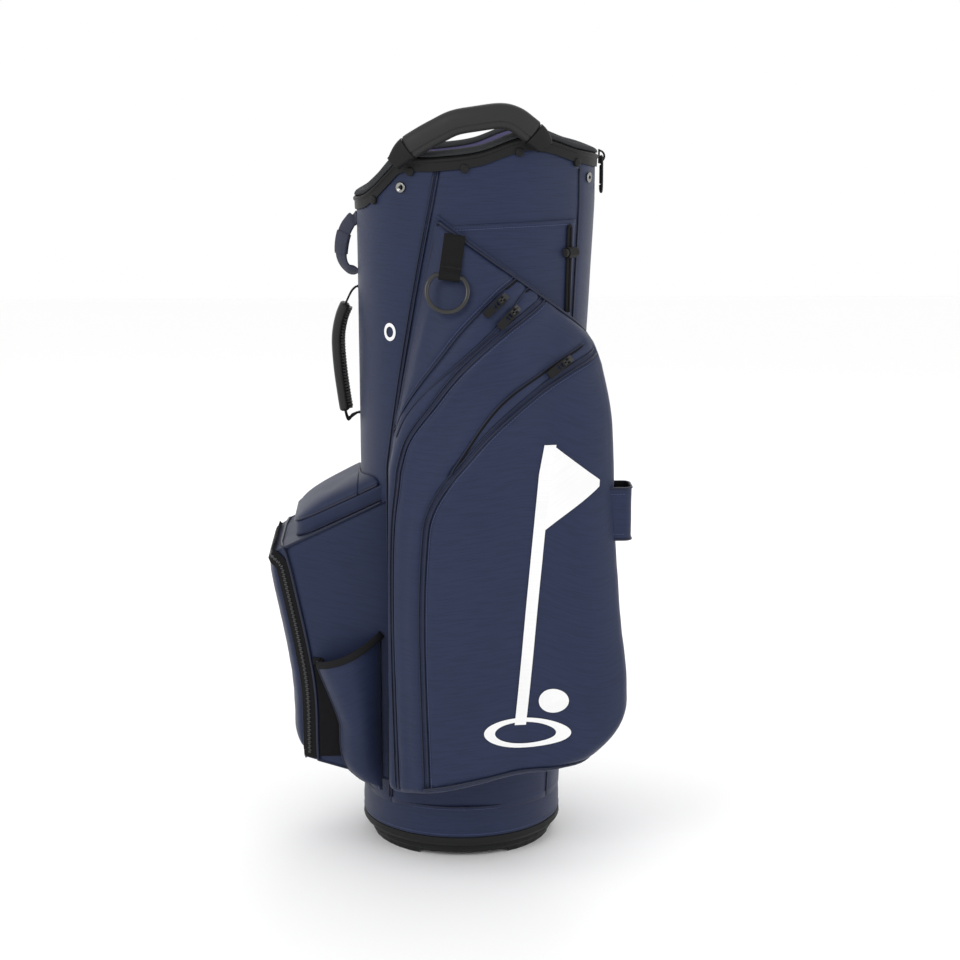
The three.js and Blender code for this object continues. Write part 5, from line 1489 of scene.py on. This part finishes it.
navy_webbing = cloth_material(
    "navy webbing", (0.013, 0.016, 0.038), (0.006, 0.007, 0.018), 1.6, 3.2, 0.5, 0.7, Roughness=0.75
)
LOOP_BACK = tube_front(799) - 2.3
loop_knots = [(2, 806), (0, 799), (-6, 794), (-13, 782), (-17, 765), (-17, 748), (-10, 736), (5, 731)]
loop_line = smooth_line([(0, LOOP_BACK + y, z) for y, z in loop_knots], 8)
loop_up = []
for k in range(len(loop_line)):
    turn = math.radians(34) * math.sin(math.pi * k / (len(loop_line) - 1))
    loop_up.append(Vector((math.sin(turn), -math.cos(turn), 0)))
loop = sweep("front_loop_webbing", loop_line, flat_section(12.7, 2.6), loop_up)
dress(loop, navy_webbing, "front_loop")
keeper_line = [p for p in loop_line if 752 < p.z < 781]
keeper_up = [loop_up[loop_line.index(p)] for p in keeper_line]
keeper = sweep("front_loop_keeper", keeper_line, flat_section(13.4, 5.2, 0.8), keeper_up)
dress(keeper, navy_webbing)

# ------------------------------------------------------------------ elastic cord
# A thin black elastic sewn to the tube beside the spine seam. It runs up and back down, and a
# spring lock is pushed along both strands.
CORD_ANGLE = 46.6
CORD_TOP = 796
CORD_BOTTOM = 690
CORD_WIDE = 3.5
cord_half = (CORD_TOP - CORD_BOTTOM) / 2
cord_side = CORD_WIDE / 2 + 0.5
cord_frame = tube_frame(CORD_ANGLE, (CORD_TOP + CORD_BOTTOM) / 2, CORD_WIDE / 2 + 1.6)
cord_knots = [(-cord_side, -cord_half, 0), (-cord_side, 0, 0), (-cord_side, cord_half - 8, 0)]
cord_knots += [(-cord_side * 0.8, cord_half - 3, 0), (0, cord_half, 0)]
cord_knots += [(cord_side * 0.8, cord_half - 3, 0), (cord_side, cord_half - 8, 0)]
cord_knots += [(cord_side, 0, 0), (cord_side, -cord_half, 0)]
cord_line = [cord_frame @ p for p in smooth_line(cord_knots, 4)]
cord_curve = bpy.data.curves.new("elastic_cord", "CURVE")
cord_curve.dimensions = "3D"
cord_curve.bevel_depth = 1.0
cord_curve.bevel_resolution = 5
cord_spline = cord_curve.splines.new("POLY")
cord_spline.points.add(len(cord_line) - 1)
for spot, p in zip(cord_spline.points, cord_line):
    spot.co = (*(p * MM), 1)
    spot.radius = CORD_WIDE / 2 * MM
cord_curve.materials.append(elastic)
cord = bpy.data.objects.new("elastic_cord_strands", cord_curve)
scene.collection.objects.link(cord)
cord_length = sum((b - a).length for a, b in zip(cord_line, cord_line[1:])) * MM
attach(cord, "bag")
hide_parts("elastic_cord")

# ------------------------------------------------------------------ cord lock
# A sprung barrel lock: the strands pass through its body and the button frees them.
finish_node("cord_lock_body", moulded, 0.6)
finish_node("cord_lock_button", soft_rubber, 0.6)

# ------------------------------------------------------------------ umbrella sleeve
# A loop of stiff navy cloth on the back edge of the right pocket, lined and bound in black.
SLEEVE_LOW, SLEEVE_HIGH, SLEEVE_NEAR, SLEEVE_FAR = 416, 482, 140, 98
sleeve_knots = [(SLEEVE_NEAR, 128), (SLEEVE_NEAR, 196)]
for turn in np.linspace(0.2, 1.5, 6):
    sleeve_knots.append((SLEEVE_NEAR - 9 + 9 * math.cos(turn), 196 + 9 * math.sin(turn)))
for turn in np.linspace(0.07, 1.37, 6):
    sleeve_knots.append((SLEEVE_FAR + 9 - 9 * math.sin(turn), 196 + 9 * math.cos(turn)))
sleeve_knots += [(SLEEVE_FAR, 196), (SLEEVE_FAR, 142)]
sleeve_line = [Vector((x, y, 0)) for x, y in sleeve_knots]


def sleeve_cloth(inset):
    lines = stretch(sleeve_line, 0, 1, 81)

    def place(u, v):
        k = round(u * 80)
        p = lines[k]
        run = (lines[min(k + 1, 80)] - lines[max(k - 1, 0)]).normalized()
        out = Vector((run.y, -run.x, 0))
        z = mix(SLEEVE_LOW, SLEEVE_HIGH, v)
        return p + Vector((0, 0, z)) + out * (0.5 * ripple((p.x, p.y, z), 24) - inset)

    return place


dress(panel("sleeve_cloth", 80, 24, sleeve_cloth(0.0), 1.4), navy, "umbrella_sleeve")
dress(panel("sleeve_lining", 80, 10, sleeve_cloth(1.5), 1.0), zip_tape_cloth, slot="navy_fabric")
for height in (SLEEVE_LOW + 1, SLEEVE_HIGH - 1):
    edge = [p + Vector((0, 0, height)) for p in stretch(sleeve_line, 0, 1, 80)]
    seam_cord("sleeve_binding", edge, 1.5)
for height in (SLEEVE_LOW + 8, SLEEVE_HIGH - 8):
    edge = [Vector((SLEEVE_NEAR + 0.7, y, height)) for y in np.linspace(150, 196, 24)]
    stitches("sleeve_stitches", edge, [Vector((1, 0, 0))] * 24)

# ------------------------------------------------------------------ finish
size = {"cad": [list(v) for v in cad_box], "visual": [list(v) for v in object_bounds()]}
